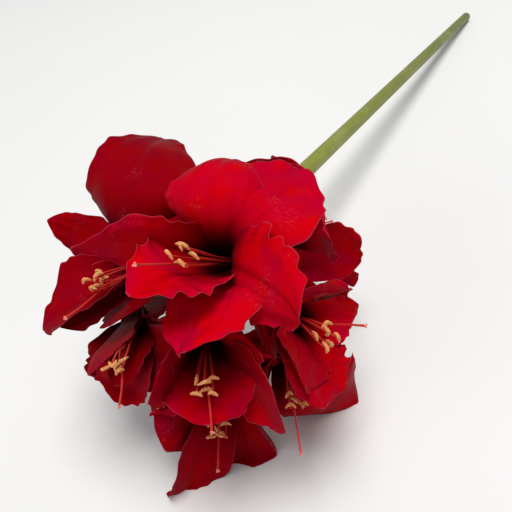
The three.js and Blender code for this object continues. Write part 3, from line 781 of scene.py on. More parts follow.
def tepal_material(name, tint):
    material, tree, shader = new_material(name)
    uv = place(tree, "ShaderNodeSeparateXYZ", {0: place(tree, "ShaderNodeUVMap", uv_map="Blade").outputs[0]})
    along, across = uv.outputs[0], uv.outputs[1]
    grain = vector_of(tree, times(across, 30.0), times(attribute(tree, "number"), 5.3), times(along, 3.0))
    veins = use_group(tree, VEINS, {"Grain": grain, "Across": across, "Ribs": 26.0, "Wander": 3.0})
    skin = skin_of(tree, 1500.0, 42.0)
    color, throat = tepal_color(tree, along, across, veins, skin)
    rough = ramp(skin["Blotches"], 0.35, 0.7, 0.40, 0.54, smooth=False)
    relief = maths("MULTIPLY_ADD", veins["Ribs"], 0.3, veins["Streaks"])
    relief = maths("MULTIPLY_ADD", skin["Cells"], 0.4, relief)
    plug(shader, {
        "Base Color": mix_color(1.0, color, tint, blend="MULTIPLY"),
        "Roughness": maths("MAXIMUM", rough, times(throat, 0.95)),
        "Specular IOR Level": 0.08, "Specular Tint": (1.0, 0.12, 0.3, 1.0), "IOR": 1.22,
        "Sheen Weight": 0.02, "Sheen Roughness": 0.4, "Sheen Tint": (1.0, 0.12, 0.25, 1.0),
        "Normal": bump(relief, 0.22, 0.3 * MM), **flesh(0.06, (1.0, 0.08, 0.06), 2 * MM),
    })
    return material


PETAL = tepal_material("petal_deep_red", (1.0, 1.0, 1.0, 1.0))
TUBE = tepal_material("flower_tube_dark_red", (0.55, 0.6, 0.6, 1.0))
print("tepal finishes:", PETAL.name, TUBE.name)

# %% [markdown]
# ## From sheet to blade
# A sheet has no thickness. A Geometry Nodes tree makes a blade of it: it raises a few soft main
# ribs, moves the sheet down by half the thickness, pushes a copy of it up and closes the rim
# between the two. The thickness is a rule of the place, fleshy at the midrib and thin at the
# margin, which a Solidify modifier can't do without a painted weight.

# %% Helpers for shape trees


def shape_node(tree, kind, inputs=None, **settings):
    """Places a Geometry Nodes node and gives its first output."""
    return place(tree, "GeometryNode" + kind, inputs, **settings).outputs[0]


def named(tree, label, kind="FLOAT"):
    return shape_node(tree, "InputNamedAttribute", {"Name": label}, data_type=kind)


def store(tree, geometry, label, value, kind="FLOAT"):
    inputs = {"Geometry": geometry, "Name": label, "Value": value}
    return shape_node(tree, "StoreNamedAttribute", inputs, data_type=kind, domain="POINT")


def raised(tree, geometry, height):
    """Moves every point along its normal."""
    offset = {0: shape_node(tree, "InputNormal"), 3: height}
    offset = place(tree, "ShaderNodeVectorMath", offset, operation="SCALE").outputs[0]
    return shape_node(tree, "SetPosition", {"Geometry": geometry, "Offset": offset})


def joined(tree, *geometries):
    both = place(tree, "GeometryNodeJoinGeometry")
    for geometry in geometries:
        tree.links.new(geometry, both.inputs[0])
    return both.outputs[0]


def finished(tree, geometry, finish, smooth=True):
    """Smooth shading, plain geometry and a finish, as every tree here ends."""
    if smooth:
        geometry = shape_node(tree, "SetShadeSmooth", {"Geometry": geometry, "Shade Smooth": True})
    geometry = shape_node(tree, "RealizeInstances", {"Geometry": geometry})
    return shape_node(tree, "SetMaterial", {"Geometry": geometry, "Material": finish})


# %% The blade tree


def make_blade_tree():
    tree, given, result = new_tree(
        "Tepal Blade", "GeometryNodeTree",
        {"Sheet": "Geometry", "Middle Thickness": 0.8 * MM, "Rim Thickness": 0.3 * MM,
         "Rib Height": 0.1 * MM, "Ribs": 4.5, "Finish": "Material"},
        {"Blade": "Geometry"},
    )
    across, along = named(tree, "across"), named(tree, "along")
    edge = maths("MAXIMUM", maths("POWER", maths("ABSOLUTE", across), 3.0), maths("POWER", along, 10.0))
    thick = ramp(edge, 0.0, 1.0, given["Middle Thickness"], given["Rim Thickness"], smooth=False)
    ribs = maths("COSINE", times(times(across, given["Ribs"]), 2 * pi))
    rib = times(times(ribs, given["Rib Height"]), maths("SUBTRACT", 1.0, edge, clamp=True))
    under = raised(tree, given["Sheet"], maths("MULTIPLY_ADD", thick, -0.5, rib))
    inputs = {"Mesh": under, "Offset Scale": thick, "Individual": False}
    over = shape_node(tree, "ExtrudeMesh", inputs, mode="FACES")
    both = joined(tree, over, shape_node(tree, "FlipFaces", {"Mesh": under}))
    closed = shape_node(tree, "MergeByDistance", {"Geometry": both, "Distance": 1e-6})
    plug(result, {"Blade": finished(tree, closed, given["Finish"])})
    return tree


BLADE = make_blade_tree()
print("nodes in the blade tree:", len(BLADE.nodes))

# %% Running a tree


def add_object(name, data):
    made = bpy.data.objects.new(name, data)
    bpy.context.scene.collection.objects.link(made)
    return made


def run_tree(name, mesh, tree, values):
    """Puts a tree on a mesh, sets its named inputs and returns the result as a plain mesh."""
    carrier = add_object(name + "_carrier", mesh)
    modifier = carrier.modifiers.new("shape", "NODES")
    modifier.node_group = tree
    sockets = {item.name: item.identifier for item in tree.interface.items_tree if item.in_out == "INPUT"}
    for label, value in values.items():
        modifier[sockets[label]] = value
    graph = bpy.context.evaluated_depsgraph_get()
    made = bpy.data.meshes.new_from_object(carrier.evaluated_get(graph), depsgraph=graph)
    made.name = name
    bpy.data.objects.remove(carrier)
    return made


def finish_piece(name, meshes, node):
    """One object of all its meshes, which rides on the one body and stands for a solid."""
    objects = [add_object(name, mesh) for mesh in meshes]
    if len(objects) > 1:
        with bpy.context.temp_override(
            active_object=objects[0], selected_editable_objects=objects, selected_objects=objects
        ):
            bpy.ops.object.join()
    piece = objects[0]
    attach(piece, "root")
    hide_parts(node)
    print(f"{piece.name}: {len(piece.data.polygons)} faces")


# %% [markdown]
# ## The tepals of a bloom
# The six sheets of a bloom go into one mesh. Each point keeps how far along and across its tepal
# it lies, because the tree and the finish both need it.

# %% Sheets to a mesh


def grid_corners(start, rows, columns):
    """The four corners of every cell of a grid of points."""
    for i in range(rows):
        for j in range(columns):
            a = start + i * (columns + 1) + j
            yield a, a + 1, a + columns + 2, a + columns + 1


def keep_values(mesh, kept):
    for label, values in kept.items():
        mesh.attributes.new(label, "FLOAT", "POINT").data.foreach_set("value", values)


def sheets_mesh(name, sheets, painted_shade):
    places, faces, along, across, number = [], [], [], [], []
    for k, (points, u, v) in enumerate(sheets):
        faces.extend(grid_corners(len(places), len(u) - 1, len(v) - 1))
        places.extend(to_frame(points.reshape(-1, 3)).tolist())
        along.extend(np.repeat(u, len(v)))
        across.extend(np.tile(v, len(u)))
        number.extend([float(k)] * len(u) * len(v))
    mesh = bpy.data.meshes.new(name)
    mesh.from_pydata(places, [], faces)
    # Every point also keeps its bloom's share of painted shade, for the finish.
    keep_values(mesh, {"along": along, "across": across, "number": number, "painted_shade": [painted_shade] * len(places)})
    corners = np.zeros(len(mesh.loops), dtype=np.int32)
    mesh.loops.foreach_get("vertex_index", corners)
    uv = np.stack([np.array(along)[corners], (np.array(across)[corners] + 1) / 2], axis=1)
    mesh.uv_layers.new(name="Blade").data.foreach_set("uv", uv.ravel())
    mesh.validate()
    return mesh


# %% [markdown]
# The short tube under the throat, like the discs and stigma lobes below, is a turned piece: a
# profile that goes round an axis. A Screw modifier could turn it, but leaves its poles open, so
# we write the rings ourselves and close both ends with a fan of triangles.

# %% Turned pieces
TUBE_RADIUS, TUBE_FOOT_RADIUS = 7.4, 4.16
TUBE_LENGTH = 10
THROAT_DEPTH = 5
TUBE_PROFILE = [(0, 0), (3.4, 0.05), (4.0, 0.4)] + [
    (TUBE_FOOT_RADIUS + (TUBE_RADIUS - TUBE_FOOT_RADIUS) * s ** 1.2, 0.6 + (TUBE_LENGTH - 1.2) * s)
    for s in np.linspace(0, 1, 9)
] + [(TUBE_RADIUS * 0.93, TUBE_LENGTH - 0.1), (0, TUBE_LENGTH)]


def ring_axes(axis):
    helper = UP if abs(axis[2]) < 0.8 else np.array([1.0, 0.0, 0.0])
    x = unit(np.cross(helper, axis))
    return x, np.cross(axis, x)


def around_axis(axis, angle):
    x, y = ring_axes(axis)
    return x * cos(angle) + y * sin(angle)


def turned_mesh(name, profile, base, axis, sides, material):
    """A profile of (radius, height) turned round an axis; it starts and ends on the axis."""
    spokes = [around_axis(axis, 2 * pi * k / sides) for k in range(sides)]
    places = [base + axis * profile[0][1]]
    for radius, height in profile[1:-1]:
        places.extend(base + axis * height + spoke * radius for spoke in spokes)
    places.append(base + axis * profile[-1][1])
    rings = len(profile) - 2
    faces, last, last_ring = [], len(places) - 1, 1 + (rings - 1) * sides
    for k in range(sides):
        n = (k + 1) % sides
        faces.append((0, 1 + n, 1 + k))
        for r in range(rings - 1):
            a, b = 1 + r * sides, 1 + (r + 1) * sides
            faces.append((a + k, a + n, b + n, b + k))
        faces.append((last_ring + k, last_ring + n, last))
    mesh = bpy.data.meshes.new(name)
    mesh.from_pydata(to_frame(places).tolist(), [], faces)
    mesh.materials.append(material)
    mesh.shade_smooth()
    return mesh


print("points of the tube's profile:", len(TUBE_PROFILE))

# %% Build the blooms' tepals
for bloom in blooms:
    title = "petals_" + bloom["name"]
    blades = run_tree(
        title, sheets_mesh(title, bloom["sheets"], bloom["painted_shade"]), BLADE,
        {"Middle Thickness": 0.8 * MM, "Rim Thickness": 0.32 * MM, "Rib Height": 0.07 * MM,
         "Ribs": 3.5, "Finish": PETAL},
    )
    tube_base = bloom["throat"] - bloom["d"] * (THROAT_DEPTH + TUBE_LENGTH)
    tube = turned_mesh("tube", TUBE_PROFILE, tube_base, bloom["d"], 24, TUBE)
    finish_piece(title, [blades, tube], "tepals_" + bloom["name"])

# %% [markdown]
# ## Round stalks that follow a path
# The stem, the flower stalks, the filaments and the styles are all round things that follow a
# line. A curve with a bevel could do it, but its finish wouldn't know how far round a point is.
# So one Geometry Nodes tree makes them all: it turns a chain of edges into a curve, takes the
# thickness from an attribute of the points, sweeps a circle along it and closes the ends. The
# ovary is three-lobed and the stem has faint ribs, so the tree can also raise lobes round it.

# %% The stalk tree


def swept(tree, path, sides, girth):
    """Sweeps a circle along a path; also gives the angle at which each point lies round it."""
    circle = shape_node(tree, "CurvePrimitiveCircle", {"Resolution": sides, "Radius": 1.0}, mode="RADIUS")
    circle = store(tree, circle, "around", shape_node(tree, "SplineParameter"))
    inputs = {"Curve": path, "Profile Curve": circle, "Scale": girth, "Fill Caps": True}
    return shape_node(tree, "CurveToMesh", inputs), times(named(tree, "around"), 2 * pi)


def make_stalk_tree():
    tree, given, result = new_tree(
        "Round Stalk", "GeometryNodeTree",
        {"Path": "Geometry", "Sides": 16, "Lobes": 3.0, "Lobe Height": 0.0, "Grain Length": 20.0,
         "Finish": "Material"},
        {"Stalk": "Geometry"},
    )
    path = shape_node(tree, "MeshToCurve", {"Mesh": given["Path"]})
    path = store(tree, path, "along", shape_node(tree, "SplineParameter"))
    body, angle = swept(tree, path, given["Sides"], named(tree, "girth"))
    lobe = maths("COSINE", times(angle, given["Lobes"]))
    body = raised(tree, body, times(times(lobe, given["Lobe Height"]), named(tree, "lobed")))
    length = times(named(tree, "along"), given["Grain Length"])
    ring = vector_of(tree, maths("COSINE", angle), maths("SINE", angle), length)
    body = store(tree, body, "ring", ring, "FLOAT_VECTOR")
    plug(result, {"Stalk": finished(tree, body, given["Finish"])})
    return tree


STALK = make_stalk_tree()
print("nodes in the stalk tree:", len(STALK.nodes))

# %% Chains of points


def paths_mesh(name, paths):
    """Chains of points with a thickness; each is (points, radii) or (points, radii, lobed)."""
    places, edges, radii, lobed = [], [], [], []
    for path in paths:
        start, count = len(places), len(path[0])
        places.extend(to_frame(path[0]).tolist())
        radii.extend(path[1] * MM)
        lobed.extend(path[2] if len(path) > 2 else [1.0] * count)
        edges.extend((start + k, start + k + 1) for k in range(count - 1))
    mesh = bpy.data.meshes.new(name)
    mesh.from_pydata(places, edges, [])
    keep_values(mesh, {"girth": radii, "lobed": lobed})
    return mesh


# %% [markdown]
# ## The green skin of stem and flower stalks
# A scape is smooth and waxy, a light grey-green with fine lengthwise streaks. It is more yellow
# near the head and greyer towards the cut end, and the cut face is pale, wet pith. The `ring`
# attribute wraps the streaks round the stalk without a seam.

# %% Green skin
WAX = linear(206, 208, 160)
PITH = linear(196, 204, 150)
STREAK_SHADE = (0.62, 0.66, 0.5, 1.0)


def green_material(name, near, far, rough, cut_face=False):
    material, tree, shader = new_material(name)
    along, ring = attribute(tree, "along"), attribute(tree, "ring", "Vector")
    grain = place(tree, "ShaderNodeVectorMath", {0: ring, 1: (6.0, 6.0, 1.0)}, operation="MULTIPLY")
    veins = use_group(tree, VEINS, {"Grain": grain.outputs[0], "Across": 0.0})
    skin = skin_of(tree, 1800.0, 24.0)
    color = mix_color(ramp(along, 0.0, 1.0, smooth=False), near, far)
    darker = mix_color(1.0, color, STREAK_SHADE, blend="MULTIPLY")
    color = mix_color(ramp(veins["Streaks"], 0.42, 0.7, 0.0, 0.55), color, darker)
    lighter = mix_color(0.5, color, WAX)
    color = mix_color(ramp(skin["Blotches"], 0.5, 0.75, 0.0, 0.4), color, lighter)
    if cut_face:
        color = mix_color(ramp(along, 0.9990, 0.9994, smooth=False), color, PITH)
    relief = maths("MULTIPLY_ADD", skin["Cells"], 0.4, veins["Streaks"])
    plug(shader, {
        "Base Color": color, "Specular IOR Level": 0.4, "Normal": bump(relief, 0.3, 0.4 * MM),
        "Roughness": ramp(veins["Streaks"], 0.3, 0.7, rough - 0.06, rough + 0.08, smooth=False),
        **flesh(0.08, (0.5, 0.8, 0.2), 2 * MM),
    })
    return material


STEM_SKIN = green_material("stem_green", linear(148, 156, 56), linear(120, 125, 74), 0.42, cut_face=True)
STALK_SKIN = green_material("flower_stalk_green", linear(118, 128, 52), linear(126, 104, 50), 0.42)
print("green finishes:", STEM_SKIN.name, STALK_SKIN.name)

# %% [markdown]
# ## The stem
# The path of the stem is a straight line with many points. Its thickness is read from the same
# few profile points as the solid's, with soft curves between them, so it swells into the knob
# under the flower stalks and ends in a clean cut.

# %% Build the stem
KNOB_POINTS, STEM_POINTS = 46, 150
END_RADIUS = 0.02
CUT_FACE = [(0.985, -0.2), (0.95, -0.1), (0.5, -0.05), (0.01, 0.0)]


def smooth_profile(profile, heights):
    """Thickness at each height, with rounded turns between the profile's points."""
    r, h = np.array(profile).T
    slopes = np.gradient(r, h)
    k = np.clip(np.searchsorted(h, heights) - 1, 0, len(h) - 2)
    span = h[k + 1] - h[k]
    t = (heights - h[k]) / span
    a = (1 + 2 * t) * (1 - t) ** 2 * r[k] + t * (1 - t) ** 2 * span * slopes[k]
    b = t * t * (3 - 2 * t) * r[k + 1] + t * t * (t - 1) * span * slopes[k + 1]
    return a + b


knob = KNOB_RADIUS
STEM_PROFILE = [
    (END_RADIUS, -knob), (knob * 0.55, -knob * 0.84), (knob * 0.93, -knob * 0.37),
    (knob * 0.97, knob * 0.25), (knob * 0.75, knob * 0.8), (STEM_TOP_RADIUS, knob * 1.5),
    (STEM_TOP_RADIUS * 0.96, knob * 4), (STEM_CUT_RADIUS, STEM_LENGTH),
]
heights = np.concatenate([
    -knob + knob * 3 * np.linspace(0, 1, KNOB_POINTS) ** 1.3,
    np.linspace(knob * 2.1, STEM_LENGTH - 0.4, STEM_POINTS),
])
thickness = np.maximum(END_RADIUS, smooth_profile(STEM_PROFILE, heights))
face_radii, face_heights = np.array(CUT_FACE).T
heights = np.concatenate([heights, STEM_LENGTH + face_heights])
thickness = np.concatenate([thickness, STEM_CUT_RADIUS * face_radii])
ribbed = clamp((STEM_LENGTH - 0.5 - heights) / 3) * clamp((heights + knob) / 8)
stem_path = (UMBEL + STEM_LINE * heights[:, None], thickness, ribbed)
stem_mesh = run_tree(
    "green_stem", paths_mesh("green_stem", [stem_path]), STALK,
    {"Sides": 48, "Lobes": 12.0, "Lobe Height": 0.05 * MM, "Grain Length": 26.0, "Finish": STEM_SKIN},
)
finish_piece("green_stem", [stem_mesh], "stem")

# %% [markdown]
# ## Flower stalks and ovaries
# Every stalk leaves the knob towards its bloom, bends into the bloom's own direction and swells
# into the ovary. We draw the bend as one Bezier curve with the same handles as the solid's.

# %% Build the flower stalks
PIECE_GAP = 0.36
STALK_RADIUS = 3
STALK_FOOT = 0.98
OVARY_LENGTH = 17
OVARY_SHARES = [0, 0.12, 0.35, 0.75, 0.93, 1]
OVARY_RADII = [3.1, 4.0, 5.0, 5.1, 4.2, 3.7]
BEND_POINTS, OVARY_POINTS = 22, 20
SIDEWAYS = 0.9


def bezier(a, b, c, d, shares):
    s = np.asarray(shares)[:, None]
    return (1 - s) ** 3 * a + 3 * (1 - s) ** 2 * s * b + 3 * (1 - s) * s * s * c + s ** 3 * d


def stalk_path(bloom):
    start = unit(bloom["throat"] - UMBEL)
    start = unit(start - STEM_LINE * SIDEWAYS * max(0, start @ STEM_LINE))
    d = bloom["d"]
    ovary_end = bloom["throat"] - d * (THROAT_DEPTH + TUBE_LENGTH + PIECE_GAP)
    ovary_start = ovary_end - d * OVARY_LENGTH
    root = UMBEL + start * (KNOB_RADIUS + PIECE_GAP)
    bow = np.linalg.norm(root - ovary_start) / 3
    shares = np.linspace(0, 1, BEND_POINTS)
    bend = bezier(root, root + start * bow, ovary_start - d * bow, ovary_start, shares)
    along = np.linspace(0, 1, OVARY_POINTS)[1:]
    ovary = ovary_start + d * (along * OVARY_LENGTH)[:, None]
    swell = np.interp(along, OVARY_SHARES, OVARY_RADII)
    radii = np.concatenate([[STALK_RADIUS * STALK_FOOT], np.full(BEND_POINTS - 1, STALK_RADIUS), swell])
    lobed = np.concatenate([np.zeros(BEND_POINTS), np.sin(pi * along) ** 0.7])
    return np.concatenate([bend, ovary]), radii, lobed


for bloom in blooms:
    title = "flower_stalk_" + bloom["name"]
    mesh = run_tree(
        title, paths_mesh(title, [stalk_path(bloom)]), STALK,
        {"Sides": 24, "Lobes": 3.0, "Lobe Height": 0.35 * MM, "Grain Length": 3.0, "Finish": STALK_SKIN},
    )
    finish_piece(title, [mesh], "stalk_" + bloom["name"])

# %% [markdown]
# ## Stamens and style
# Filaments start in a ring on the floor of the tube, run with it and then lean where gravity and
# light pull them. They lie inside the tepals, so each point of a filament that comes too near a
# tepal is moved off along the tepal's inner face. A BVH tree finds the nearest face quickly.

# %% Clear of the tepals
STEPS_OFF_A_TEPAL = 6
SEARCH_BEYOND = 3
CLEAR_ENOUGH = 0.98


def inner_faces(bloom):
    """A search tree over the inner faces of the bloom's tepals."""
    points, triangles = [], []
    for sheet, u, v in bloom["sheets"]:
        for here, aside, far, ahead in grid_corners(len(points), len(u) - 1, len(v) - 1):
            triangles.extend([(here, ahead, aside), (ahead, far, aside)])
        points.extend(sheet.reshape(-1, 3).tolist())
    return BVHTree.FromPolygons(points, triangles)


def bend_from_tepals(point, faces, clearance):
    for _ in range(STEPS_OFF_A_TEPAL):
        foot, normal, _, _ = faces.find_nearest(Vector(point), clearance + SEARCH_BEYOND)
        if foot is None:
            return point
        normal = np.array(normal)
        height = (point - np.array(foot)) @ normal
        if height >= clearance * CLEAR_ENOUGH:
            return point
        point = point + normal * (clearance - height)
    return point


# %% Thread paths
THREAD_CLEARANCE = 2
FOOT_DEPTH, FOOT_RING = 4, 2
FOOT_HANDLE, TIP_HANDLE = 0.45, 0.3
THREAD_KNOTS = 6
STEPS_BETWEEN_KNOTS = 7


def through(points, steps):
    """A smooth curve through the points."""
    ends = [2 * points[0] - points[1], *points, 2 * points[-1] - points[-2]]
    curve = []
    for k in range(1, len(ends) - 2):
        a, b, c, d = ends[k - 1:k + 3]
        for s in np.linspace(0, 1, steps, endpoint=False):
            curve.append(0.5 * (2 * b + (c - a) * s + (2 * a - 5 * b + 4 * c - d) * s * s
                                + (3 * b - a - 3 * c + d) * s ** 3))
    return np.array([*curve, points[-1]])


def thread_path(bloom, faces, angle, spread, aim, reach, tip_clearance):
    ring, d = outward(bloom, angle), bloom["d"]
    foot = bloom["throat"] - d * FOOT_DEPTH + ring * FOOT_RING
    tip = bloom["throat"] + aim * reach + ring * spread
    shares = np.linspace(0, 1, THREAD_KNOTS)
    knots = bezier(foot, foot + d * reach * FOOT_HANDLE, tip - aim * reach * TIP_HANDLE, tip, shares)
    for k in range(1, THREAD_KNOTS):
        room = THREAD_CLEARANCE + (tip_clearance - THREAD_CLEARANCE) * shares[k] ** 4
        knots[k] = bend_from_tepals(knots[k], faces, room)
    return through(knots, STEPS_BETWEEN_KNOTS)


# %% [markdown]
# An anther is a small curved boat of two pollen sacs that swings on the filament's tip. Forty-eight
# of them repeat, so Geometry Nodes bend one boat, press a groove into it, set it on every tip in
# its own direction and scatter pollen grains over it.

# %% One anther
GROOVE_DEPTH = 0.32


def make_boat(tree, given):
    """A bent spindle with rounded ends and a groove along both its sides."""
    half = times(given["Length"], 0.5)
    boat = shape_node(tree, "CurveQuadraticBezier", {
        "Resolution": 14, "Start": vector_of(tree, times(half, -1.0)),
        "Middle": vector_of(tree, 0.0, 0.0, given["Curve"]), "End": vector_of(tree, half),
    })
    share = shape_node(tree, "SplineParameter")
    round_end = maths("POWER", maths("SINE", maths("MULTIPLY_ADD", share, 3.06, 0.04)), 0.45)
    boat, angle = swept(tree, boat, 12, times(round_end, given["Thickness"]))
    turn = maths("COSINE", angle)
    groove = times(maths("POWER", times(turn, turn), 5.0), given["Thickness"])
    return finished(tree, raised(tree, boat, times(groove, -GROOVE_DEPTH)), given["Sac"])


# %% All anthers and their pollen
SMALLEST_GRAIN, LARGEST_GRAIN = 0.6, 1.5


def make_anther_tree():
    tree, given, result = new_tree(
        "Anthers", "GeometryNodeTree",
        {"Tips": "Geometry", "Length": 10 * MM, "Thickness": 1.3 * MM, "Curve": 2.2 * MM,
         "Pollen Density": 1.6e6, "Grain Size": 0.26 * MM, "Seed": 4, "Sac": "Material",
         "Pollen": "Material"},
        {"Anthers": "Geometry"},
    )
    swing = {"Vector": named(tree, "swing", "FLOAT_VECTOR")}
    lay = place(tree, "FunctionNodeAlignRotationToVector", swing, axis="X").outputs[0]
    sacs = shape_node(tree, "InstanceOnPoints", {
        "Points": given["Tips"], "Instance": make_boat(tree, given), "Rotation": lay,
        "Scale": vector_of(tree, named(tree, "size"), 1.0, 1.0),
    })
    sacs = shape_node(tree, "RealizeInstances", {"Geometry": sacs})
    spread = {"Mesh": sacs, "Density": given["Pollen Density"], "Seed": given["Seed"]}
    spots = shape_node(tree, "DistributePointsOnFaces", spread)
    grain = shape_node(tree, "MeshIcoSphere", {"Radius": given["Grain Size"], "Subdivisions": 1})
    sizes = {2: SMALLEST_GRAIN, 3: LARGEST_GRAIN, "Seed": given["Seed"]}
    vary = place(tree, "FunctionNodeRandomValue", sizes, data_type="FLOAT").outputs[1]
    grains = {"Points": spots, "Instance": grain, "Scale": vary}
    grains = finished(tree, shape_node(tree, "InstanceOnPoints", grains), given["Pollen"], smooth=False)
    plug(result, {"Anthers": joined(tree, sacs, grains)})
    return tree


ANTHERS = make_anther_tree()
print("nodes in the anther tree:", len(ANTHERS.nodes))


def tips_mesh(name, tips):
    """Loose points, one for each anther, with the direction that it swings in and its size."""
    places, directions, sizes = zip(*tips)
    mesh = bpy.data.meshes.new(name)
    mesh.from_pydata(to_frame(places).tolist(), [], [])
    swing = mesh.attributes.new("swing", "FLOAT_VECTOR", "POINT")
    swing.data.foreach_set("vector", (np.array(directions) @ LEVEL.T).ravel())
    keep_values(mesh, {"size": sizes})
    return mesh


# %% [markdown]
# The filaments are deep red where they leave the tube and get lighter to the tip. The anthers are
# pale peach and the pollen is golden, rough and without shine. The style is the reddest thread
# and ends in a small pale stigma of three lobes.

# %% Thread and pollen finishes
THREAD_SHADE = (0.7, 0.6, 0.55, 1.0)


def thread_material(name, base, tip, rough):
    material, tree, shader = new_material(name)
    skin = skin_of(tree, 2600.0, 260.0)
    color = mix_color(ramp(attribute(tree, "along"), 0.15, 0.9), base, tip)
    shade = mix_color(1.0, color, THREAD_SHADE, blend="MULTIPLY")
    plug(shader, {
        "Base Color": mix_color(ramp(skin["Blotches"], 0.4, 0.7, 0.0, 0.6), color, shade),
        "Roughness": ramp(skin["Cells"], 0.3, 0.7, rough - 0.05, rough + 0.1, smooth=False),
        "Normal": bump(skin["Cells"], 0.4, 0.2 * MM), **flesh(0.15, (1.0, 0.3, 0.15), 1 * MM),
    })
    return material


FILAMENT = thread_material("filament_red", linear(160, 4, 14), linear(222, 62, 48), 0.5)
STYLE = thread_material("style_red", linear(160, 6, 20), linear(214, 50, 44), 0.45)
STIGMA = thread_material("stigma_pale_rose", linear(240, 150, 130), linear(240, 150, 130), 0.6)
ANTHER = thread_material("anther_peach", linear(232, 150, 100), linear(250, 186, 140), 0.75)
POLLEN = thread_material("pollen_gold", linear(250, 190, 112), linear(250, 190, 112), 0.9)
print("thread finishes:", FILAMENT.name, STYLE.name, STIGMA.name, ANTHER.name, POLLEN.name)

# %% [markdown]
# Three of a bloom's six stamens are shorter. Each anther swings across its filament, turned a
# little forward or back, and anthers that have opened are shorter. The stigma's lobes and the
# disc on which all threads stand are turned pieces.

# %% Ends of the threads
LARGEST_ANTHER, ANTHER_STEP, ANTHER_TURN = 0.85, 0.09, 0.5
LOBE_SPREAD, LOBE_LEAN = 0.45, 0.75
LOBE_PROFILE = [(0, -0.9), (0.35, -0.8), (0.6, -0.3), (0.72, 0.4), (0.6, 1.1), (0.3, 1.5), (0, 1.6)]


def stigma_meshes(tip, direction):
    """Three small lobes that spread from the end of the style."""
    for k in range(3):
        aside = around_axis(direction, 2 * pi * k / 3)
        axis = unit(direction + aside * LOBE_LEAN)
        yield turned_mesh("lobe", LOBE_PROFILE, tip + aside * LOBE_SPREAD, axis, 10, STIGMA)


def anther_tip(curve, faces, k):
    """Where an anther sits, the direction that it lies in and its size."""
    tangent = unit(curve[-1] - curve[-2])
    normal = np.array(faces.find_nearest(Vector(curve[-1]))[1])
    swing = np.cross(normal, tangent) + ANTHER_TURN * tangent * (k % 3 - 1)
    return curve[-1], unit(swing), LARGEST_ANTHER - ANTHER_STEP * (k % 3)


# %% Build the stamens and styles
STAMEN_SPREAD = 6
SHORT_STAMEN = 0.87
ANTHER_CLEARANCE, STIGMA_CLEARANCE = 6.5, 3
ANTHER_LENGTH, ANTHER_THICKNESS, ANTHER_CURVE = 10, 1.2, 6
FILAMENT_RADIUS, FILAMENT_TAPER = 0.85, 0.38
STYLE_RADIUS, STYLE_TAPER, STYLE_FLARE = 0.8, 0.15, 0.25
DISC_PROFILE = [(0, 0), (3.0, 0.05), (3.2, 0.5), (3.1, 1.2), (2.6, 1.6), (0, 1.6)]
THREAD = {"Sides": 10, "Lobes": 3.0, "Lobe Height": 0.0, "Grain Length": 3.0}

for number, bloom in enumerate(blooms):
    title = "stamens_and_style_" + bloom["name"]
    faces = inner_faces(bloom)
    aim = compass(*bloom["stamens"][:2])
    filaments, tips = [], []
    for k in range(6):
        reach = bloom["stamens"][2] * (1 if k % 2 == 0 else SHORT_STAMEN)
        curve = thread_path(bloom, faces, pi / 3 * k, STAMEN_SPREAD, aim, reach, ANTHER_CLEARANCE)
        share = np.linspace(0, 1, len(curve))
        filaments.append((curve, FILAMENT_RADIUS - FILAMENT_TAPER * share ** 1.5))
        tips.append(anther_tip(curve, faces, k))
    aim, reach = compass(*bloom["style"][:2]), bloom["style"][2]
    style = thread_path(bloom, faces, pi, 0, aim, reach, STIGMA_CLEARANCE)
    share = np.linspace(0, 1, len(style))
    style_path = [(style, STYLE_RADIUS - STYLE_TAPER * share + STYLE_FLARE * share ** 12)]
    anthers = {
        "Length": ANTHER_LENGTH * MM, "Thickness": ANTHER_THICKNESS * MM,
        "Curve": ANTHER_CURVE * MM, "Seed": number + 1, "Sac": ANTHER, "Pollen": POLLEN,
    }
    floor_of_tube = bloom["throat"] - bloom["d"] * (THROAT_DEPTH - PIECE_GAP)
    meshes = [
        run_tree(title, paths_mesh(title, filaments), STALK, {**THREAD, "Finish": FILAMENT}),
        run_tree("style", paths_mesh("style", style_path), STALK, {**THREAD, "Finish": STYLE}),
        run_tree("anthers", tips_mesh("tips", tips), ANTHERS, anthers),
        turned_mesh("disc", DISC_PROFILE, floor_of_tube, bloom["d"], 18, FILAMENT),
        *stigma_meshes(style[-1], unit(style[-1] - style[-2])),
    ]
    finish_piece(title, meshes, "stamens_" + bloom["name"])

# %% [markdown]
# ## Camera, surface and light
# The photo looks down on the flower from its front right side, so that the stem runs away to the
# upper right. We know where the umbel lies in the picture and how far away it is, so the camera
# is placed from the flower, then turned into the frame with the same matrix as the petals.

# %% Camera
CAMERA_TURN = 34
CAMERA_HEIGHT = 55.4
UMBEL_SEEN_AT = (-32.7, -0.8, 510)
LENS = 45
SENSOR = 36

view_right = compass(90 + CAMERA_TURN, 0)
view_ahead = compass(180 + CAMERA_TURN, -CAMERA_HEIGHT)
view_up = np.cross(view_right, view_ahead)
side, above, depth = UMBEL_SEEN_AT
camera_place = UMBEL - view_right * side - view_up * above - view_ahead * depth

camera = add_object("Camera", bpy.data.cameras.new("Camera"))
columns = np.array([LEVEL @ view_right, LEVEL @ view_up, -(LEVEL @ view_ahead)]).T
camera.matrix_world = Matrix.Translation(to_frame(camera_place)) @ Matrix(columns.tolist()).to_4x4()
camera.data.lens = LENS
camera.data.sensor_width = SENSOR
camera.data.clip_start = 0.01
camera.data.clip_end = 50
bpy.context.scene.camera = camera
print("camera at", [round(value, 3) for value in camera.location])

# %% [markdown]
# The surface is plain and nearly white. Its finish still has a little life: a soft mottling that
# is too faint to be a pattern.

# %% Surface
FLOOR_HALF_SIZE = 6.0


def floor_material():
    material, tree, shader = new_material("pale_surface")
    mottle = noise(place(tree, "ShaderNodeTexCoord").outputs["Object"], 3.0, detail=2.0)
    color = mix_color(mottle, (0.86, 0.86, 0.86, 1), (0.90, 0.90, 0.89, 1))
    plug(shader, {"Base Color": color, "Roughness": 0.9, "Specular IOR Level": 0.1})
    return material


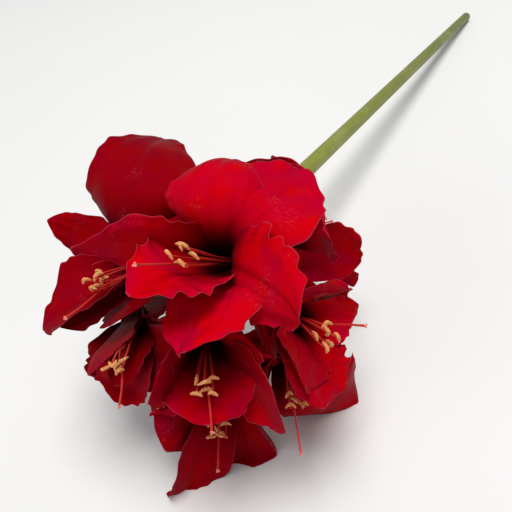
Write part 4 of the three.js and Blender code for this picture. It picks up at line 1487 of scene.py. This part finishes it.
corners = [(x * FLOOR_HALF_SIZE, y * FLOOR_HALF_SIZE, 0) for x, y in ((-1, -1), (1, -1), (1, 1), (-1, 1))]
floor_mesh = bpy.data.meshes.new("floor")
floor_mesh.from_pydata(corners, [], [(0, 1, 2, 3)])
floor_mesh.materials.append(floor_material())
add_object("floor", floor_mesh)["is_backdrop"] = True
print("floor, m:", 2 * FLOOR_HALF_SIZE)

# %% [markdown]
# One broad soft light hangs over the flower, so that the petals that face up are the brightest and
# the shadow stays under the head. A weaker one in front opens the shadows, and a pale world fills
# in from all sides. Red keeps its depth only with the plain Standard view, so we choose that.

# %% Light
MIDDLE_OF_HEAD = Vector((0, -0.2, 0.12))
LIGHT_DISTANCE = 3.0


def soft_light(name, direction, size, power, tint):
    light = bpy.data.lights.new(name, "AREA")
    light.shape = "DISK"
    light.size = size
    light.energy = power
    light.color = tint
    lamp = add_object(name, light)
    lamp.location = MIDDLE_OF_HEAD + Vector(direction).normalized() * LIGHT_DISTANCE
    lamp.rotation_mode = "QUATERNION"
    lamp.rotation_quaternion = (MIDDLE_OF_HEAD - lamp.location).to_track_quat("-Z", "Y")
    print(f"{name}: {power} W, {size} m wide")


soft_light("key", (0.1, 0.05, 1.0), 1.6, 76, (1.0, 0.985, 0.96))
soft_light("fill", (-0.4, -1.0, 0.8), 2.0, 11, (0.96, 0.98, 1.0))

world = bpy.data.worlds.new("studio")
world.use_nodes = True
background = next(node for node in world.node_tree.nodes if node.type == "BACKGROUND")
plug(background, {"Color": (0.95, 0.97, 1.0, 1.0), "Strength": 0.3})
bpy.context.scene.world = world
bpy.context.scene.view_settings.view_transform = "Standard"

# %% [markdown]
# ## The size of the fine model
# The fine model has to keep to the box of the solids. A rippled tip may pass it by a millimetre or
# so, but more would mean that the solids have the wrong size. We print both boxes, so that they
# can be compared.

# %% Size
fine_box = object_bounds()
boxes = {"cad": cad_box, "visual": fine_box}
for label, box in boxes.items():
    print(label, [[round(value / MM, 1) for value in corner] for corner in box])
